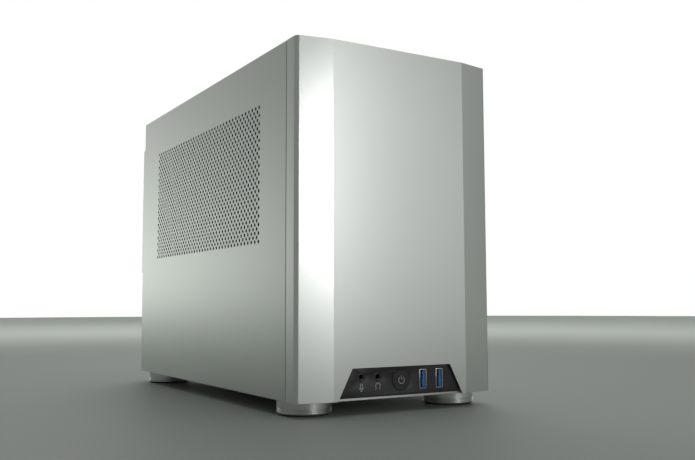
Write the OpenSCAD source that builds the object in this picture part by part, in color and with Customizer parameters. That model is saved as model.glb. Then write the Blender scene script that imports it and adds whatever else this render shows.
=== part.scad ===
// Compact desktop computer tower: a sheet-aluminium case with pull-off panels,
// and the mini-ITX computer it holds. +Z is up, -Y is the front, and the origin is
// on the floor under the middle of the case. Millimetres.

/* [Case] */
// Width over the side panels
body_w = 160; // [160:1:192]
// Height without the feet
body_h = 240; // [240:1:288]
// Depth from the front face to the side panels' rear edge
body_d = 328; // [328:1:394]
// Thickness of the chassis sheets and of the side and top panels
sheet = 1.5; // [1.2:0.1:1.8]
// Gap between the front panel and the side panels
panel_gap = 1; // [0.8:0.1:1.5]
// Clearance between a panel and what it slides past
slip = 0.3; // [0.2:0.05:0.4]
// How far the side panels' rear edge stands behind the rear plate
rear_recess = 2; // [1:0.5:3]
// How far the grip tab on a side panel's rear edge stands out
tab_out = 4; // [3:0.5:6]
// How far the lower part of that edge stands out
lip_out = 1.2; // [0.5:0.1:2]
// Height of the grip tab's lower end over the panel's bottom edge
tab_base = 94; // [60:1:110]
// Length of the grip tab
tab_len = 120.5; // [90:0.5:121]

/* [Front panel] */
// Thickness of the front panel's sheet
front_sheet = 2; // [1.5:0.1:2.4]
// Depth of the front panel's tray
front_depth = 18; // [17:0.5:22]
// Width of each bevel beside the flat middle
bevel_w = 25.6; // [20:0.1:31]
// How far the bevel falls back at the edge
bevel_d = 4.8; // [3:0.1:6]
// Width of the port window at the bottom edge
window_w = 102; // [98:1:110]
// Height of the port window
window_h = 21; // [20:0.5:24]
// How far each side of the window leans in
window_lean = 11; // [6:0.5:12]

/* [Vents] */
// Diameter of a vent hole
hole_d = 2.6; // [2:0.1:3]
// Spacing of the holes in a row and between rows of one kind
hole_pitch = 6; // [5.5:0.1:7.2]
// Width and height of the left panel's vent
left_vent = [222, 96];
// Front face to the first column of the side vents
vent_front = 61.6; // [50:0.1:70]
// Panel's bottom edge to the first row of the side vents
vent_base = 107; // [100:1:112]
// Width and height of the right panel's vent
right_vent = [102, 96];
// Width across the case and length along it of the top panel's vent
top_vent = [78, 138];

/* [Feet] */
// Diameter of a foot
foot_d = 37; // [30:0.5:44]
// Height of a foot with its pad
foot_h = 10; // [8:0.5:14]
// Foot's edge to the side of the case
foot_side = 1.1; // [0.5:0.1:6]
// Front foot's edge to the front face
foot_front = 11; // [8:0.5:16]
// Rear foot's edge to the side panels' rear edge
foot_rear = 6.5; // [4:0.5:12]

/* [Front ports] */
// Diameter of the power button's cap
button_d = 14; // [11:0.5:15]
// Travel of the power button
button_travel = 0.8; // [0.5:0.1:1]
// Height of the button and the USB sockets over the bottom edge
button_z = 11.5; // [11:0.1:12]
// Places of the two USB sockets across the case
usb_x = [18.5, 32.5];
// Places of the microphone and headphone jacks across the case
jack_x = [-32, -19];
// Bore of an audio jack
jack_d = 3.6; // [3.5:0.1:3.8]

/* [Boards] */
// Side of the square mainboard
board_w = 170; // [170:1:172]
// Thickness of a circuit board
pcb = 1.6; // [1.2:0.1:2]
// Length of the mainboard's standoffs
standoff = 6.5; // [5:0.5:7]
// Spacing of the expansion slots
slot_pitch = 20.32;
// Length of the graphics card's board
card_len = 225; // [200:1:240]

/* [Power supply] */
// Width, depth and height of the power supply as it stands
psu = [63.5, 100, 125];

/* [Fans] */
// Frame side and thickness of the side fans
side_fan = [120, 25];
// Frame side and thickness of the rear fan
rear_fan = [92, 25];
// Frame side and thickness of the thin fans in the cooler and the power supply
thin_fan = [92, 15];

/* [Hidden] */
eps = 0.5; // how far a cut runs past a face
fit = 0.2; // clearance of a piece in its cut-out
$fn = 48;

x_out = body_w / 2;
x_in = x_out - sheet;
x_frame = x_in - slip;
z_floor = foot_h;
z_deck = z_floor + sheet;
z_top = foot_h + body_h;
z_rim = z_top - sheet;
y_front = -(body_d + tab_out) / 2;
y_shell = y_front + front_depth;
y_wall = y_shell + panel_gap;
y_wall_in = y_wall + sheet;
y_side = y_front + body_d;
y_back = y_side - rear_recess;
y_back_in = y_back - sheet;
feet_at = [for (sx = [-1, 1], y = [y_front + foot_front + foot_d / 2, y_side - foot_rear - foot_d / 2])
    [sx * (x_out - foot_side - foot_d / 2), y]];

flange_w = 17;
ring_w = 14;
stud_ball = 4.6;
stud_bore = 5;
socket_d = 7.8;

tray_gap = 6.7; // cable space behind the mainboard tray
x_tray = x_frame - tray_gap - sheet;
x_board = x_tray - standoff - pcb; // component face of the mainboard
y_board = y_back_in - 1.5 - board_w;
z_board = z_top - 10 - board_w;
board_holes = [for (v = [6.3, 163.8], u = [7.6, 162.4]) [v, u]];

z_slot = z_board + 6.6;
slot_z = [for (k = [0:2]) z_slot - 6 - k * slot_pitch];
bracket_h = 18.4;
bracket_x = [x_board - 128, x_board + 2];
thumb_x = bracket_x[0] + 6;

fan_z = z_floor + vent_base + left_vent[1] / 2;
fan_y = y_front + vent_front + left_vent[0] / 2;
side_fan_x = -x_in + 3.5;
rail_x = side_fan_x + side_fan[1];
rail_h = 13;

aperture_x = [x_board - 42, x_board + 2.2];
aperture_z = [z_board + 15.5, z_board + 174.3];

rear_fan_x = -x_frame + sheet + 0.2 + rear_fan[0] / 2;
rear_fan_z = z_slot + 42.4 + rear_fan[0] / 2;
inlet_x = -25;
inlet_z = z_top - 21;
inlet = [27, 19.6];

psu_x = [x_tray + 0.5 - psu[0], x_tray + 0.5];
psu_z = [z_top - 18 - psu[2], z_top - 18];
psu_fan_at = [y_wall_in + psu[1] / 2, psu_z[0] + psu[2] / 2];
psu_inlet_at = [psu_x[0] + 30, psu_z[1] - 32];
psu_switch_at = [psu_x[0] + 30, psu_z[1] - 59];

cpu = [z_board + 95, y_board + 92];
fins_out = [32, 56];

card_x = [x_board - 108, x_board - 12.2];
card_y = [y_back_in - 3.5 - card_len, y_back_in - 3.5];
shroud_y = [card_y[0] - 2, y_back_in - 16.5];
shroud_z = [z_slot - 38, z_slot - 3.6];
card_fans = [for (s = [0.25, 0.73]) shroud_y[0] + s * (shroud_y[1] - shroud_y[0])];
card_fan_d = 84;
card_mid_x = (card_x[0] - 2 + card_x[1] - 2) / 2;

// ---------- shapes that repeat ----------

module block(lo, hi) translate(lo) cube(hi - lo);

module rod_x(d, x, y, z) translate([x[0], y, z]) rotate([0, 90, 0]) cylinder(d = d, h = x[1] - x[0]);
module rod_y(d, x, y, z) translate([x, y[0], z]) rotate([-90, 0, 0]) cylinder(d = d, h = y[1] - y[0]);
module rod_z(d, x, y, z) translate([x, y, z[0]]) cylinder(d = d, h = z[1] - z[0]);

// A flat shape drawn in Y and Z, made thick along X
module sheet_x(x) translate([x[0], 0, 0]) rotate([90, 0, 90]) linear_extrude(x[1] - x[0]) children();
// A flat shape drawn in X and Z, made thick along Y
module sheet_y(y) translate([0, y[1], 0]) rotate([90, 0, 0]) linear_extrude(y[1] - y[0]) children();

// Two interleaved square grids of vent holes, drilled along Z from the origin
module vent_drills(size, depth) {
    cols = floor(size[0] / hole_pitch + 0.01);
    rows = floor(size[1] / hole_pitch + 0.01);
    for (i = [0:cols], j = [0:rows])
        translate([i, j, 0] * hole_pitch) cylinder(d = hole_d, h = depth, $fn = 16);
    for (i = [0:cols - 1], j = [0:rows - 1])
        translate([i + 0.5, j + 0.5, 0] * hole_pitch) cylinder(d = hole_d, h = depth, $fn = 16);
}

// The same hole pattern inside a circle, drilled along Z
module round_vent_drills(d, depth) {
    n = ceil(d / hole_pitch);
    for (i = [-n:n], j = [-n:n], s = [0, 0.5]) {
        at = [i + s, j + s] * hole_pitch;
        if (norm(at) < (d - hole_d) / 2) translate(at) cylinder(d = hole_d, h = depth, $fn = 16);
    }
}

// Points of the arc that rounds corner b between a and c
function bend(a, b, c, r, n = 5) =
    let (u = (a - b) / norm(a - b), v = (c - b) / norm(c - b), half = acos(u * v) / 2,
         mid = b + (u + v) / norm(u + v) * r / sin(half),
         p = b + u * r / tan(half) - mid, q = b + v * r / tan(half) - mid)
    [for (k = [0:n]) let (w = p * (1 - k / n) + q * k / n) mid + w / norm(w) * r];

// A line of straight runs whose corners are rounded to radius r
function rounded(pts, r, n = 5) =
    [pts[0], for (i = [1:len(pts) - 2]) each bend(pts[i - 1], pts[i], pts[i + 1], r, n), pts[len(pts) - 1]];

// A round cable swept along a rounded line
module cable(pts, d, r, sides = 8) {
    path = rounded(pts, r);
    last = len(path) - 1;
    ref = [1, 1, 1] / sqrt(3);
    rings = [for (i = [0:last])
        let (t = path[min(i + 1, last)] - path[max(i - 1, 0)], u = cross(t, ref) / norm(cross(t, ref)),
             v = cross(u, t) / norm(t))
        for (k = [0:sides - 1]) path[i] + d / 2 * (u * cos(360 * k / sides) + v * sin(360 * k / sides))];
    polyhedron(rings, concat(
        [[for (k = [sides - 1:-1:0]) k]],
        [for (i = [0:last - 1], k = [0:sides - 1])
            let (a = i * sides + k, b = i * sides + (k + 1) % sides)
            each [[a, b, a + sides], [b, b + sides, a + sides]]],
        [[for (k = [0:sides - 1]) last * sides + k]]));
}

// Ball stud: it stands on a panel's inner face at z = gap and its ball hangs below z = 0
module ball_stud(gap) {
    translate([0, 0, -3]) cylinder(d = 3, h = 3 + gap);
    translate([0, 0, -3]) sphere(d = stud_ball);
}

// Socket that takes the ball stud: z = 0 is the outer face of the sheet it sits in
module snap_socket() difference() {
    union() {
        translate([0, 0, -sheet]) cylinder(d = socket_d, h = sheet);
        translate([0, 0, -sheet - 4]) cylinder(d = socket_d + 2, h = 4);
    }
    translate([0, 0, -sheet - 4 - eps]) cylinder(d = stud_bore, h = sheet + 4 + 2 * eps);
}

// Places of the studs: each turns +Z to point out of the case at the sheet's outer face
stud_z = [z_floor + 28, z_top - 28];
stud_y = [y_wall_in + 8.5, y_back_in - 9.5];
module at_side_studs(side) for (y = stud_y, z = stud_z)
    translate([side * x_frame, y, z]) rotate([0, side * 90, 0]) children();
module at_top_studs() for (sx = [-1, 1], y = [y_wall_in + 26, y_back_in - 18])
    translate([sx * (x_frame - ring_w / 2), y, z_rim]) children();
module at_front_studs() for (sx = [-1, 1], z = [z_floor + 35, z_top - 10])
    translate([sx * 45, y_wall, z]) rotate([90, 0, 0]) children();

// ---------- outer panels ----------

// Plan outline of the front panel at one face of its sheet, t inside the outer face
function front_plan(t, back) =
    let (slope = bevel_d / bevel_w, drop = t * sqrt(1 + slope * slope), x_flat = x_out - bevel_w,
         xs = x_out - t, side = [-xs, y_front + slope * (xs - x_flat) + drop],
         flat = [-x_flat + (drop - t) / slope, y_front + t])
    rounded([[-xs, back], side, flat, [-flat[0], flat[1]], [xs, side[1]], [xs, back]], 3 - t);

module window_2d(wide, top) {
    lean = window_lean / window_h;
    bottom = z_floor - 1;
    polygon([[-window_w / 2 - wide - lean, bottom], [window_w / 2 + wide + lean, bottom],
        [window_w / 2 + wide - lean * (top - z_floor), top], [-window_w / 2 - wide + lean * (top - z_floor), top]]);
}

module front_panel() color([0.78, 0.79, 0.78]) difference() {
    translate([0, 0, z_floor]) linear_extrude(body_h) polygon(front_plan(0, y_shell));
    translate([0, 0, z_floor + front_sheet])
        linear_extrude(body_h - 2 * front_sheet) polygon(front_plan(front_sheet, y_shell + eps));
    sheet_y([y_front - eps, y_shell + eps]) window_2d(0, z_floor + window_h);
}

module front_panel_studs() color("silver") at_front_studs() {
    ball_stud(0);
    cylinder(d = 6, h = y_wall - y_front - front_sheet);
}

// Side panel outline in Y and Z, with the stepped grip tab on its rear edge
module side_outline() {
    low = z_floor + 4;
    tab = [z_floor + tab_base, z_floor + tab_base + tab_len];
    polygon([[y_wall, z_floor], [y_side, z_floor], [y_side, low], [y_side + lip_out, low + lip_out],
        [y_side + lip_out, tab[0]], [y_side + tab_out - 1, tab[0]], [y_side + tab_out, tab[0] + 1],
        [y_side + tab_out, tab[1] - 1], [y_side + tab_out - 1, tab[1]], [y_side, tab[1]],
        [y_side, z_top], [y_wall, z_top]]);
}

module side_panel(side, vent) difference() {
    x = [min(side * x_in, side * x_out), max(side * x_in, side * x_out)];
    sheet_x(x) side_outline();
    translate([x[0] - eps, y_front + vent_front, z_floor + vent_base])
        rotate([90, 0, 90]) vent_drills(vent, sheet + 2 * eps);
}
module left_panel() color([0.76, 0.77, 0.76]) side_panel(-1, left_vent);
module right_panel() color([0.76, 0.77, 0.76]) side_panel(1, right_vent);
module left_panel_studs() color("silver") at_side_studs(-1) ball_stud(slip);
module right_panel_studs() color("silver") at_side_studs(1) ball_stud(slip);

module top_panel() color([0.76, 0.77, 0.76]) difference() {
    block([-x_frame, y_wall, z_rim], [x_frame, y_side, z_top]);
    cols = floor(top_vent[0] / hole_pitch + 0.01);
    translate([-cols * hole_pitch / 2, y_back_in - 30 - top_vent[1], z_rim - eps])
        vent_drills(top_vent, sheet + 2 * eps);
}
module top_panel_studs() color("silver") at_top_studs() ball_stud(0);

// ---------- chassis ----------

tongue_x = window_w / 2 - 1.5;
y_bezel = y_front + front_sheet + fit;
deck_slot = [48, 3.2];

module bottom_plate() color([0.7, 0.71, 0.71]) difference() {
    union() {
        block([-x_frame, y_wall, z_floor], [x_frame, y_back, z_deck]);
        block([-tongue_x, y_bezel, z_floor], [tongue_x, y_wall + eps, z_deck]);
    }
    for (p = feet_at) rod_z(4.3, p[0], p[1], [z_floor - eps, z_deck + eps]);
    for (bank = card_fans, i = [-5:4], s = [-1, 1])
        translate([s * 33, bank + i * 7, z_deck]) cube([deck_slot[0], deck_slot[1], 4 * sheet], center = true);
}

module front_wall() color([0.7, 0.71, 0.71]) difference() {
    block([-x_frame, y_wall, z_deck], [x_frame, y_wall_in, z_rim - sheet]);
    at_front_studs() translate([0, 0, -sheet - eps]) cylinder(d = socket_d + fit, h = sheet + 2 * eps);
    psu_front_cuts(y_wall - eps, y_wall_in + eps);
    rod_y(12, inlet_x, [y_wall - eps, y_wall_in + eps], inlet_z + 6);
    for (p = drive_screws) rod_y(3.4, p[0], [y_wall - eps, y_wall_in + eps], p[1]);
    for (i = [0:3]) block([-60 + 26 * i, y_wall - eps, z_floor + 60], [-44 + 26 * i, y_wall_in + eps, z_floor + 76]);
}

module rear_plate() color([0.7, 0.71, 0.71]) difference() {
    block([-x_frame, y_back_in, z_deck], [x_frame, y_back, z_rim - sheet]);
    block([aperture_x[0], y_back_in - eps, aperture_z[0]], [aperture_x[1], y_back + eps, z_rim - sheet - 1]);
    for (z = slot_z) block([bracket_x[0] + 13, y_back_in - eps, z - 7], [bracket_x[1] - 6, y_back + eps, z + 7]);
    for (z = slot_z) rod_y(3.9, thumb_x, [y_back_in - eps, y_back + eps], z);
    translate([rear_fan_x, y_back_in - eps, rear_fan_z]) rotate([-90, 0, 0])
        round_vent_drills(rear_fan[0] - 4, sheet + 2 * eps);
    for (sx = [-1, 1], sz = [-1, 1])
        rod_y(4.3, rear_fan_x + sx * 41.25, [y_back_in - eps, y_back + eps], rear_fan_z + sz * 41.25);
    block([inlet_x - inlet[0] / 2 - fit, y_back_in - eps, inlet_z - inlet[1] / 2 - fit],
        [inlet_x + inlet[0] / 2 + fit, y_back + eps, inlet_z + inlet[1] / 2 + fit]);
    for (sx = [-1, 1]) rod_y(3.3, inlet_x + sx * 20, [y_back_in - eps, y_back + eps], inlet_z);
}

// Four bars round the top opening, and a flange strip behind each side panel's edges
module frame_rails() color([0.7, 0.71, 0.71]) {
    z = [z_rim - sheet, z_rim];
    difference() {
        union() {
            for (sx = [-1, 1])
                block([sx > 0 ? x_frame - ring_w : -x_frame, y_wall, z[0]],
                    [sx > 0 ? x_frame : -x_frame + ring_w, y_back, z[1]]);
            block([-x_frame + ring_w + 0.1, y_wall, z[0]], [x_frame - ring_w - 0.1, y_wall + ring_w, z[1]]);
            block([-x_frame + ring_w + 0.1, y_back - ring_w, z[0]], [x_frame - ring_w - 0.1, y_back, z[1]]);
        }
        at_top_studs() translate([0, 0, -sheet - eps]) cylinder(d = socket_d + fit, h = sheet + 2 * eps);
    }
    difference() {
        for (sx = [-1, 1], y = [y_wall_in, y_back_in - flange_w])
            block([sx > 0 ? x_frame - sheet : -x_frame, y, z_deck],
                [sx > 0 ? x_frame : -x_frame + sheet, y + flange_w, z_rim - sheet - 0.1]);
        for (s = [-1, 1]) at_side_studs(s) translate([0, 0, -sheet - eps])
            cylinder(d = socket_d + fit, h = sheet + 2 * eps);
    }
}

module snap_sockets() color([0.15, 0.15, 0.16]) {
    for (s = [-1, 1]) at_side_studs(s) snap_socket();
    at_top_studs() snap_socket();
    at_front_studs() snap_socket();
}

module mainboard_tray() color([0.7, 0.71, 0.71]) difference() {
    block([x_tray, y_board - 5, z_deck], [x_tray + sheet, y_back_in, z_board + board_w + 2]);
    for (h = board_holes) rod_x(3.4, [x_tray - eps, x_tray + sheet + eps], y_board + h[1], z_board + h[0]);
    for (i = [0:3]) block([x_tray - eps, y_board - 2, z_board + 15 + 40 * i],
        [x_tray + sheet + eps, y_board + 4, z_board + 40 + 40 * i]);
}

module fan_rails() color([0.7, 0.71, 0.71]) difference() {
    union() for (s = [-1, 1])
        block([rail_x, y_wall_in, fan_z + s * (side_fan[0] - rail_h) / 2 - rail_h / 2],
            [rail_x + sheet, y_back_in, fan_z + s * (side_fan[0] - rail_h) / 2 + rail_h / 2]);
    for (p = side_fan_screws) rod_x(4.3, [rail_x - eps, rail_x + sheet + eps], p[0], p[1]);
}

// ---------- feet ----------

pad_h = 1.5;
module feet() color([0.76, 0.77, 0.77]) for (p = feet_at) translate([p[0], p[1], 0]) difference() {
    rotate_extrude($fn = 96) difference() {
        polygon([[0, 1], [foot_d / 2 - 0.8, 1], [foot_d / 2, 1.8], [foot_d / 2, foot_h], [0, foot_h]]);
        for (k = [0:2]) translate([foot_d / 2, 2.6 + k * 1.1]) circle(d = 0.6, $fn = 16);
    }
    translate([0, 0, 1 - eps]) cylinder(d = foot_d - 3, h = pad_h - 1 + eps);
    translate([0, 0, -eps]) cylinder(d = 9, h = foot_h - 4 + eps);
    translate([0, 0, -eps]) cylinder(d = 4.3, h = foot_h + 2 * eps);
}

module foot_pads() color([0.12, 0.12, 0.12]) for (p = feet_at) translate([p[0], p[1], 0]) difference() {
    cylinder(d = foot_d - 3.2, h = pad_h);
    translate([0, 0, -eps]) cylinder(d = 12, h = pad_h + 2 * eps);
}

// ---------- front ports ----------

z_port = z_floor + button_z;
z_jack = z_floor + 14.8;
usb_shell = [5.9, 13.2];
y_board_front = y_wall - 3.6;
bezel = [y_bezel, y_bezel + 2];
post_x = window_w / 2 - 5.5;

module port_bezel() color([0.07, 0.07, 0.07]) difference() {
    lap = 3;
    lean = window_lean / window_h;
    top = z_floor + window_h + lap;
    low = z_floor + front_sheet + slip;
    foot_x = window_w / 2 - 1.5;
    side_x = window_w / 2 + lap - lean * (low - z_floor);
    top_x = window_w / 2 + lap - lean * (top - z_floor);
    union() {
        sheet_y(bezel) polygon([[-foot_x, z_deck], [foot_x, z_deck], [foot_x, low], [side_x, low],
            [top_x, top], [-top_x, top], [-side_x, low], [-foot_x, low]]);
        for (sx = [-1, 1]) rod_y(5, sx * post_x, [bezel[1] - eps, y_wall], z_floor + 9);
    }
    rod_y(button_d + 2 * fit, 0, [bezel[0] - eps, bezel[1] + eps], z_port);
    for (x = jack_x) rod_y(6, x, [bezel[0] - eps, bezel[1] + eps], z_jack);
    for (x = usb_x) block([x - usb_shell[0] / 2 - fit, bezel[0] - eps, z_port - usb_shell[1] / 2 - fit],
        [x + usb_shell[0] / 2 + fit, bezel[1] + eps, z_port + usb_shell[1] / 2 + fit]);
}

// Circuit board behind the bezel, with its push switch and two spacers
module port_board() color([0.1, 0.2, 0.14]) {
    block([-post_x + 3.5, y_board_front, z_floor + 3.5], [post_x - 3.5, y_board_front + pcb, z_floor + window_h]);
    for (sx = [-1, 1]) rod_y(5, sx * (post_x - 8), [y_board_front + pcb, y_wall], z_floor + 17);
    difference() {
        block([-3, y_board_front - 4.8, z_port - 3], [3, y_board_front, z_port + 3]);
        rod_y(3.4, 0, [y_board_front - 4.8 - eps, y_board_front - 2.4], z_port);
    }
}

// USB type A socket shell: centre of its mouth at the origin, opening along -Y, long side along Z
module usb_shell_y(depth) difference() {
    block([-usb_shell[0] / 2, 0, -usb_shell[1] / 2], [usb_shell[0] / 2, depth, usb_shell[1] / 2]);
    block([-usb_shell[0] / 2 + 0.4, -eps, -usb_shell[1] / 2 + 0.4],
        [usb_shell[0] / 2 - 0.4, depth - 1.4, usb_shell[1] / 2 - 0.4]);
}

y_usb = bezel[0] + 0.3;
module front_usb_shells() color("silver") for (x = usb_x) translate([x, y_usb, z_port])
    usb_shell_y(y_board_front - y_usb);
module front_usb_tongues() color([0.1, 0.4, 0.8]) for (x = usb_x) translate([x, y_usb, z_port])
    block([0.1, 0.8, -5.6], [2, y_board_front - y_usb - 1.4, 5.6]);

module front_audio_jacks() color([0.1, 0.1, 0.1]) for (x = jack_x) difference() {
    union() {
        rod_y(5.6, x, [bezel[0] + 0.2, bezel[1] + eps], z_jack);
        block([x - 3.75, bezel[1], z_jack - 3.75], [x + 3.75, y_board_front, z_jack + 3.75]);
    }
    rod_y(jack_d, x, [bezel[0] - eps, y_board_front - 1], z_jack);
}

module power_button() color([0.09, 0.09, 0.09]) {
    rod_y(button_d, 0, [bezel[0] - 0.2, bezel[1] + eps], z_port);
    rod_y(button_d + 2, 0, [bezel[1] + 0.1, bezel[1] + 1.1], z_port);
    rod_y(4, 0, [bezel[1] + 1, y_board_front - 5.8], z_port);
    rod_y(3, 0, [bezel[1] + 1, y_board_front - 3.6], z_port);
}

// ---------- storage ----------

drive = [70, 7, 100];
drive_at = [-64, y_wall - drive[1], z_floor + 80];
drive_screws = [for (x = [4, 66], z = [12, 88]) [drive_at[0] + x, drive_at[2] + z]];

module solid_state_drive() color([0.2, 0.21, 0.23]) difference() {
    block(drive_at, drive_at + drive);
    for (p = drive_screws) rod_y(3.1, p[0], [y_wall - 4, y_wall + eps], p[1]);
}

// ---------- power supply ----------

psu_wall = 1;
mains = [22.5, 16];
switch_cut = [19, 13];
psu_in = [y_wall_in, y_wall_in + psu[1]];

module psu_front_cuts(y0, y1) {
    block([psu_inlet_at[0] - inlet[0] / 2 - fit, y0, psu_inlet_at[1] - inlet[1] / 2 - fit],
        [psu_inlet_at[0] + inlet[0] / 2 + fit, y1, psu_inlet_at[1] + inlet[1] / 2 + fit]);
    block([psu_switch_at[0] - switch_cut[0] / 2 - fit, y0, psu_switch_at[1] - switch_cut[1] / 2 - fit],
        [psu_switch_at[0] + switch_cut[0] / 2 + fit, y1, psu_switch_at[1] + switch_cut[1] / 2 + fit]);
}

module psu_case() color([0.22, 0.22, 0.23]) difference() {
    block([psu_x[0], psu_in[0], psu_z[0]], [psu_x[1] - psu_wall, psu_in[1], psu_z[1]]);
    block([psu_x[0] + psu_wall, psu_in[0] + psu_wall, psu_z[0] + psu_wall],
        [psu_x[1] + eps, psu_in[1] - psu_wall, psu_z[1] - psu_wall]);
    psu_front_cuts(psu_in[0] - eps, psu_in[0] + psu_wall + eps);
    for (z = psu_socket_z) block([psu_x[0] + 9, psu_in[1] - psu_wall - eps, z - 8],
        [psu_x[0] + 41, psu_in[1] + eps, z + 8]);
}

psu_socket_z = [for (k = [0:2]) psu_z[0] + 16 + 34 * k];

// Side cover of the power supply with its ringed finger guard
module psu_grille() color([0.22, 0.22, 0.23]) difference() {
    block([psu_x[1] - psu_wall, psu_in[0], psu_z[0]], [psu_x[1], psu_in[1], psu_z[1]]);
    translate([psu_x[1] - psu_wall - eps, psu_fan_at[0], psu_fan_at[1]]) rotate([90, 0, 90])
        linear_extrude(psu_wall + 2 * eps) difference() {
            for (r = [12:6:42]) difference() {
                circle(r = r);
                circle(r = r - 4);
            }
            for (a = [45, 135]) rotate(a) square([100, 3], center = true);
        }
    for (sy = [-1, 1], sz = [-1, 1]) rod_x(4.3, [psu_x[1] - psu_wall - eps, psu_x[1] + eps],
        psu_fan_at[0] + sy * 41.25, psu_fan_at[1] + sz * 41.25);
}

// Fan frame lying in X and Y with its back at z = 0; the struts and motor plate are at the back
module fan_frame(size, thick, holes, hub = 38) {
    chamfer = size / 2 - 2;
    linear_extrude(thick) difference() {
        polygon([[-size / 2, -chamfer], [-chamfer, -size / 2], [chamfer, -size / 2], [size / 2, -chamfer],
            [size / 2, chamfer], [chamfer, size / 2], [-chamfer, size / 2], [-size / 2, chamfer]]);
        circle(d = size - 3, $fn = 96);
        for (sx = [-1, 1], sy = [-1, 1]) translate([sx, sy] * holes / 2) circle(d = 4.3, $fn = 24);
    }
    linear_extrude(2.5) {
        circle(d = hub);
        for (a = [20:90:290]) rotate(a) translate([hub / 2 - 1, -1.5]) square([size / 2 - hub / 2 + 0.6, 3]);
    }
}

// Fan rotor about Z, from z0 to z1: a hub and flat tilted blades
module rotor(d, z0, z1, hub = 36, blades = 9, tilt = 38) {
    difference() {
        translate([0, 0, z0]) cylinder(d = hub, h = z1 - z0);
        translate([0, 0, z0 - eps]) cylinder(d = hub - 3, h = z1 - z0 - 2 + eps);
    }
    intersection() {
        difference() {
            translate([0, 0, z0 + 1]) cylinder(d = d, h = z1 - z0 - 2, $fn = 96);
            translate([0, 0, z0]) cylinder(d = hub - 1, h = z1 - z0);
        }
        for (k = [0:blades - 1]) rotate(k * 360 / blades) translate([0, 0, (z0 + z1) / 2]) rotate([tilt, 0, 0])
            translate([0, -(z1 - z0), -0.6]) cube([d, 2 * (z1 - z0), 1.2]);
    }
}

module at_psu_fan() translate([psu_x[1] - psu_wall, psu_fan_at[0], psu_fan_at[1]]) rotate([0, -90, 0]) children();
module psu_fan_frame() color([0.1, 0.1, 0.1]) at_psu_fan() translate([0, 0, thin_fan[1]]) mirror([0, 0, 1])
    fan_frame(thin_fan[0], thin_fan[1], 82.5);
module psu_fan_rotor() color([0.16, 0.16, 0.17]) at_psu_fan() translate([0, 0, thin_fan[1]]) mirror([0, 0, 1])
    rotor(thin_fan[0] - 6, 3, thin_fan[1] - 1, 36, 7, 32);

// Three flat blades of a mains inlet, standing up along Z; grow widens them for a socket's slots
module mains_blades(len, grow = 0) for (p = [[-7, -2], [7, -2], [0, 2]])
    translate([p[0], p[1], len / 2]) cube([2 + grow, 4 + grow, len], center = true);

// Mains inlet whose mouth opens along +Z at z = 0
module mains_socket(depth) {
    difference() {
        translate([-inlet[0] / 2, -inlet[1] / 2, -depth - 3]) cube([inlet[0], inlet[1], depth + 3]);
        translate([-mains[0] / 2, -mains[1] / 2, -depth]) cube([mains[0], mains[1], depth + eps]);
    }
    translate([0, 0, -depth]) mains_blades(depth - 2);
}

module at_psu_inlet() translate([psu_inlet_at[0], y_wall, psu_inlet_at[1]]) rotate([90, 0, 0]) children();
// Board, transformer, heat sinks and capacitors of the power supply, with its inlet and cable sockets
module psu_electronics() color([0.13, 0.16, 0.2]) {
    y0 = psu_in[0] + 22;
    x0 = psu_x[0] + psu_wall;
    block([x0 + 3, y0, psu_z[0] + 4], [x0 + 3 + pcb, psu_in[1] - 4, psu_z[1] - 4]);
    block([x0 + 3 + pcb, y0 + 20, psu_z[0] + 50], [x0 + 36, y0 + 48, psu_z[0] + 78]);
    for (s = [18, 96]) block([x0 + 3 + pcb, y0 + 6, psu_z[0] + s], [x0 + 38, y0 + 62, psu_z[0] + s + 4]);
    for (k = [0:3]) rod_x(12, [x0 + 3 + pcb, x0 + 27 + 3 * (k % 2)], y0 + 10 + 15 * k, psu_z[0] + 36);
    at_psu_inlet() mains_socket(15);
    for (z = psu_socket_z) difference() {
        block([psu_x[0] + 9 + fit, psu_in[1] - 4, z - 8 + fit], [psu_x[0] + 41 - fit, psu_in[1] + 1, z + 8 - fit]);
        for (i = [0:5], j = [0:2]) block([psu_x[0] + 11 + 5 * i, psu_in[1] - 2.5, z - 6.4 + 4.6 * j],
            [psu_x[0] + 14.4 + 5 * i, psu_in[1] + 1 + eps, z - 3 + 4.6 * j]);
    }
    difference() {
        block([psu_switch_at[0] - switch_cut[0] / 2, y_wall - 1, psu_switch_at[1] - switch_cut[1] / 2],
            [psu_switch_at[0] + switch_cut[0] / 2, y_wall + 12, psu_switch_at[1] + switch_cut[1] / 2]);
        block([psu_switch_at[0] - 7.6, y_wall - 1 - eps, psu_switch_at[1] - 5],
            [psu_switch_at[0] + 7.6, y_wall + 9, psu_switch_at[1] + 5]);
    }
}

rocker_tilt = 8;
// Rocker whose two faces meet over its pivot, lying pressed to one side
module psu_switch() color([0.6, 0.1, 0.1])
    translate([psu_switch_at[0], y_wall + 3, psu_switch_at[1]]) rotate([0, 0, rocker_tilt]) difference() {
        union() {
            translate([0, 0, -4.6]) linear_extrude(9.2)
                polygon([[-7, -3.2], [0, -4.2], [7, -3.2], [5, 1.2], [-5, 1.2]]);
            translate([0, 0, -4.6]) cylinder(d = 4, h = 9.2);
        }
    }

// Right-angle plug on the power supply's inlet
module mains_plug() color([0.06, 0.06, 0.06]) at_psu_inlet() {
    difference() {
        translate([-mains[0] / 2 + 0.3, -mains[1] / 2 + 0.3, -14]) cube([mains[0] - 0.6, mains[1] - 0.6, 14.4]);
        translate([0, 0, -15]) mains_blades(15, 0.5);
    }
    translate([-13, -10, 0.4]) cube([26, 20, 13.4]);
    translate([-13, 0, 7]) rotate([0, -90, 0]) cylinder(d1 = 11, d2 = 8, h = 10);
}

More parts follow.
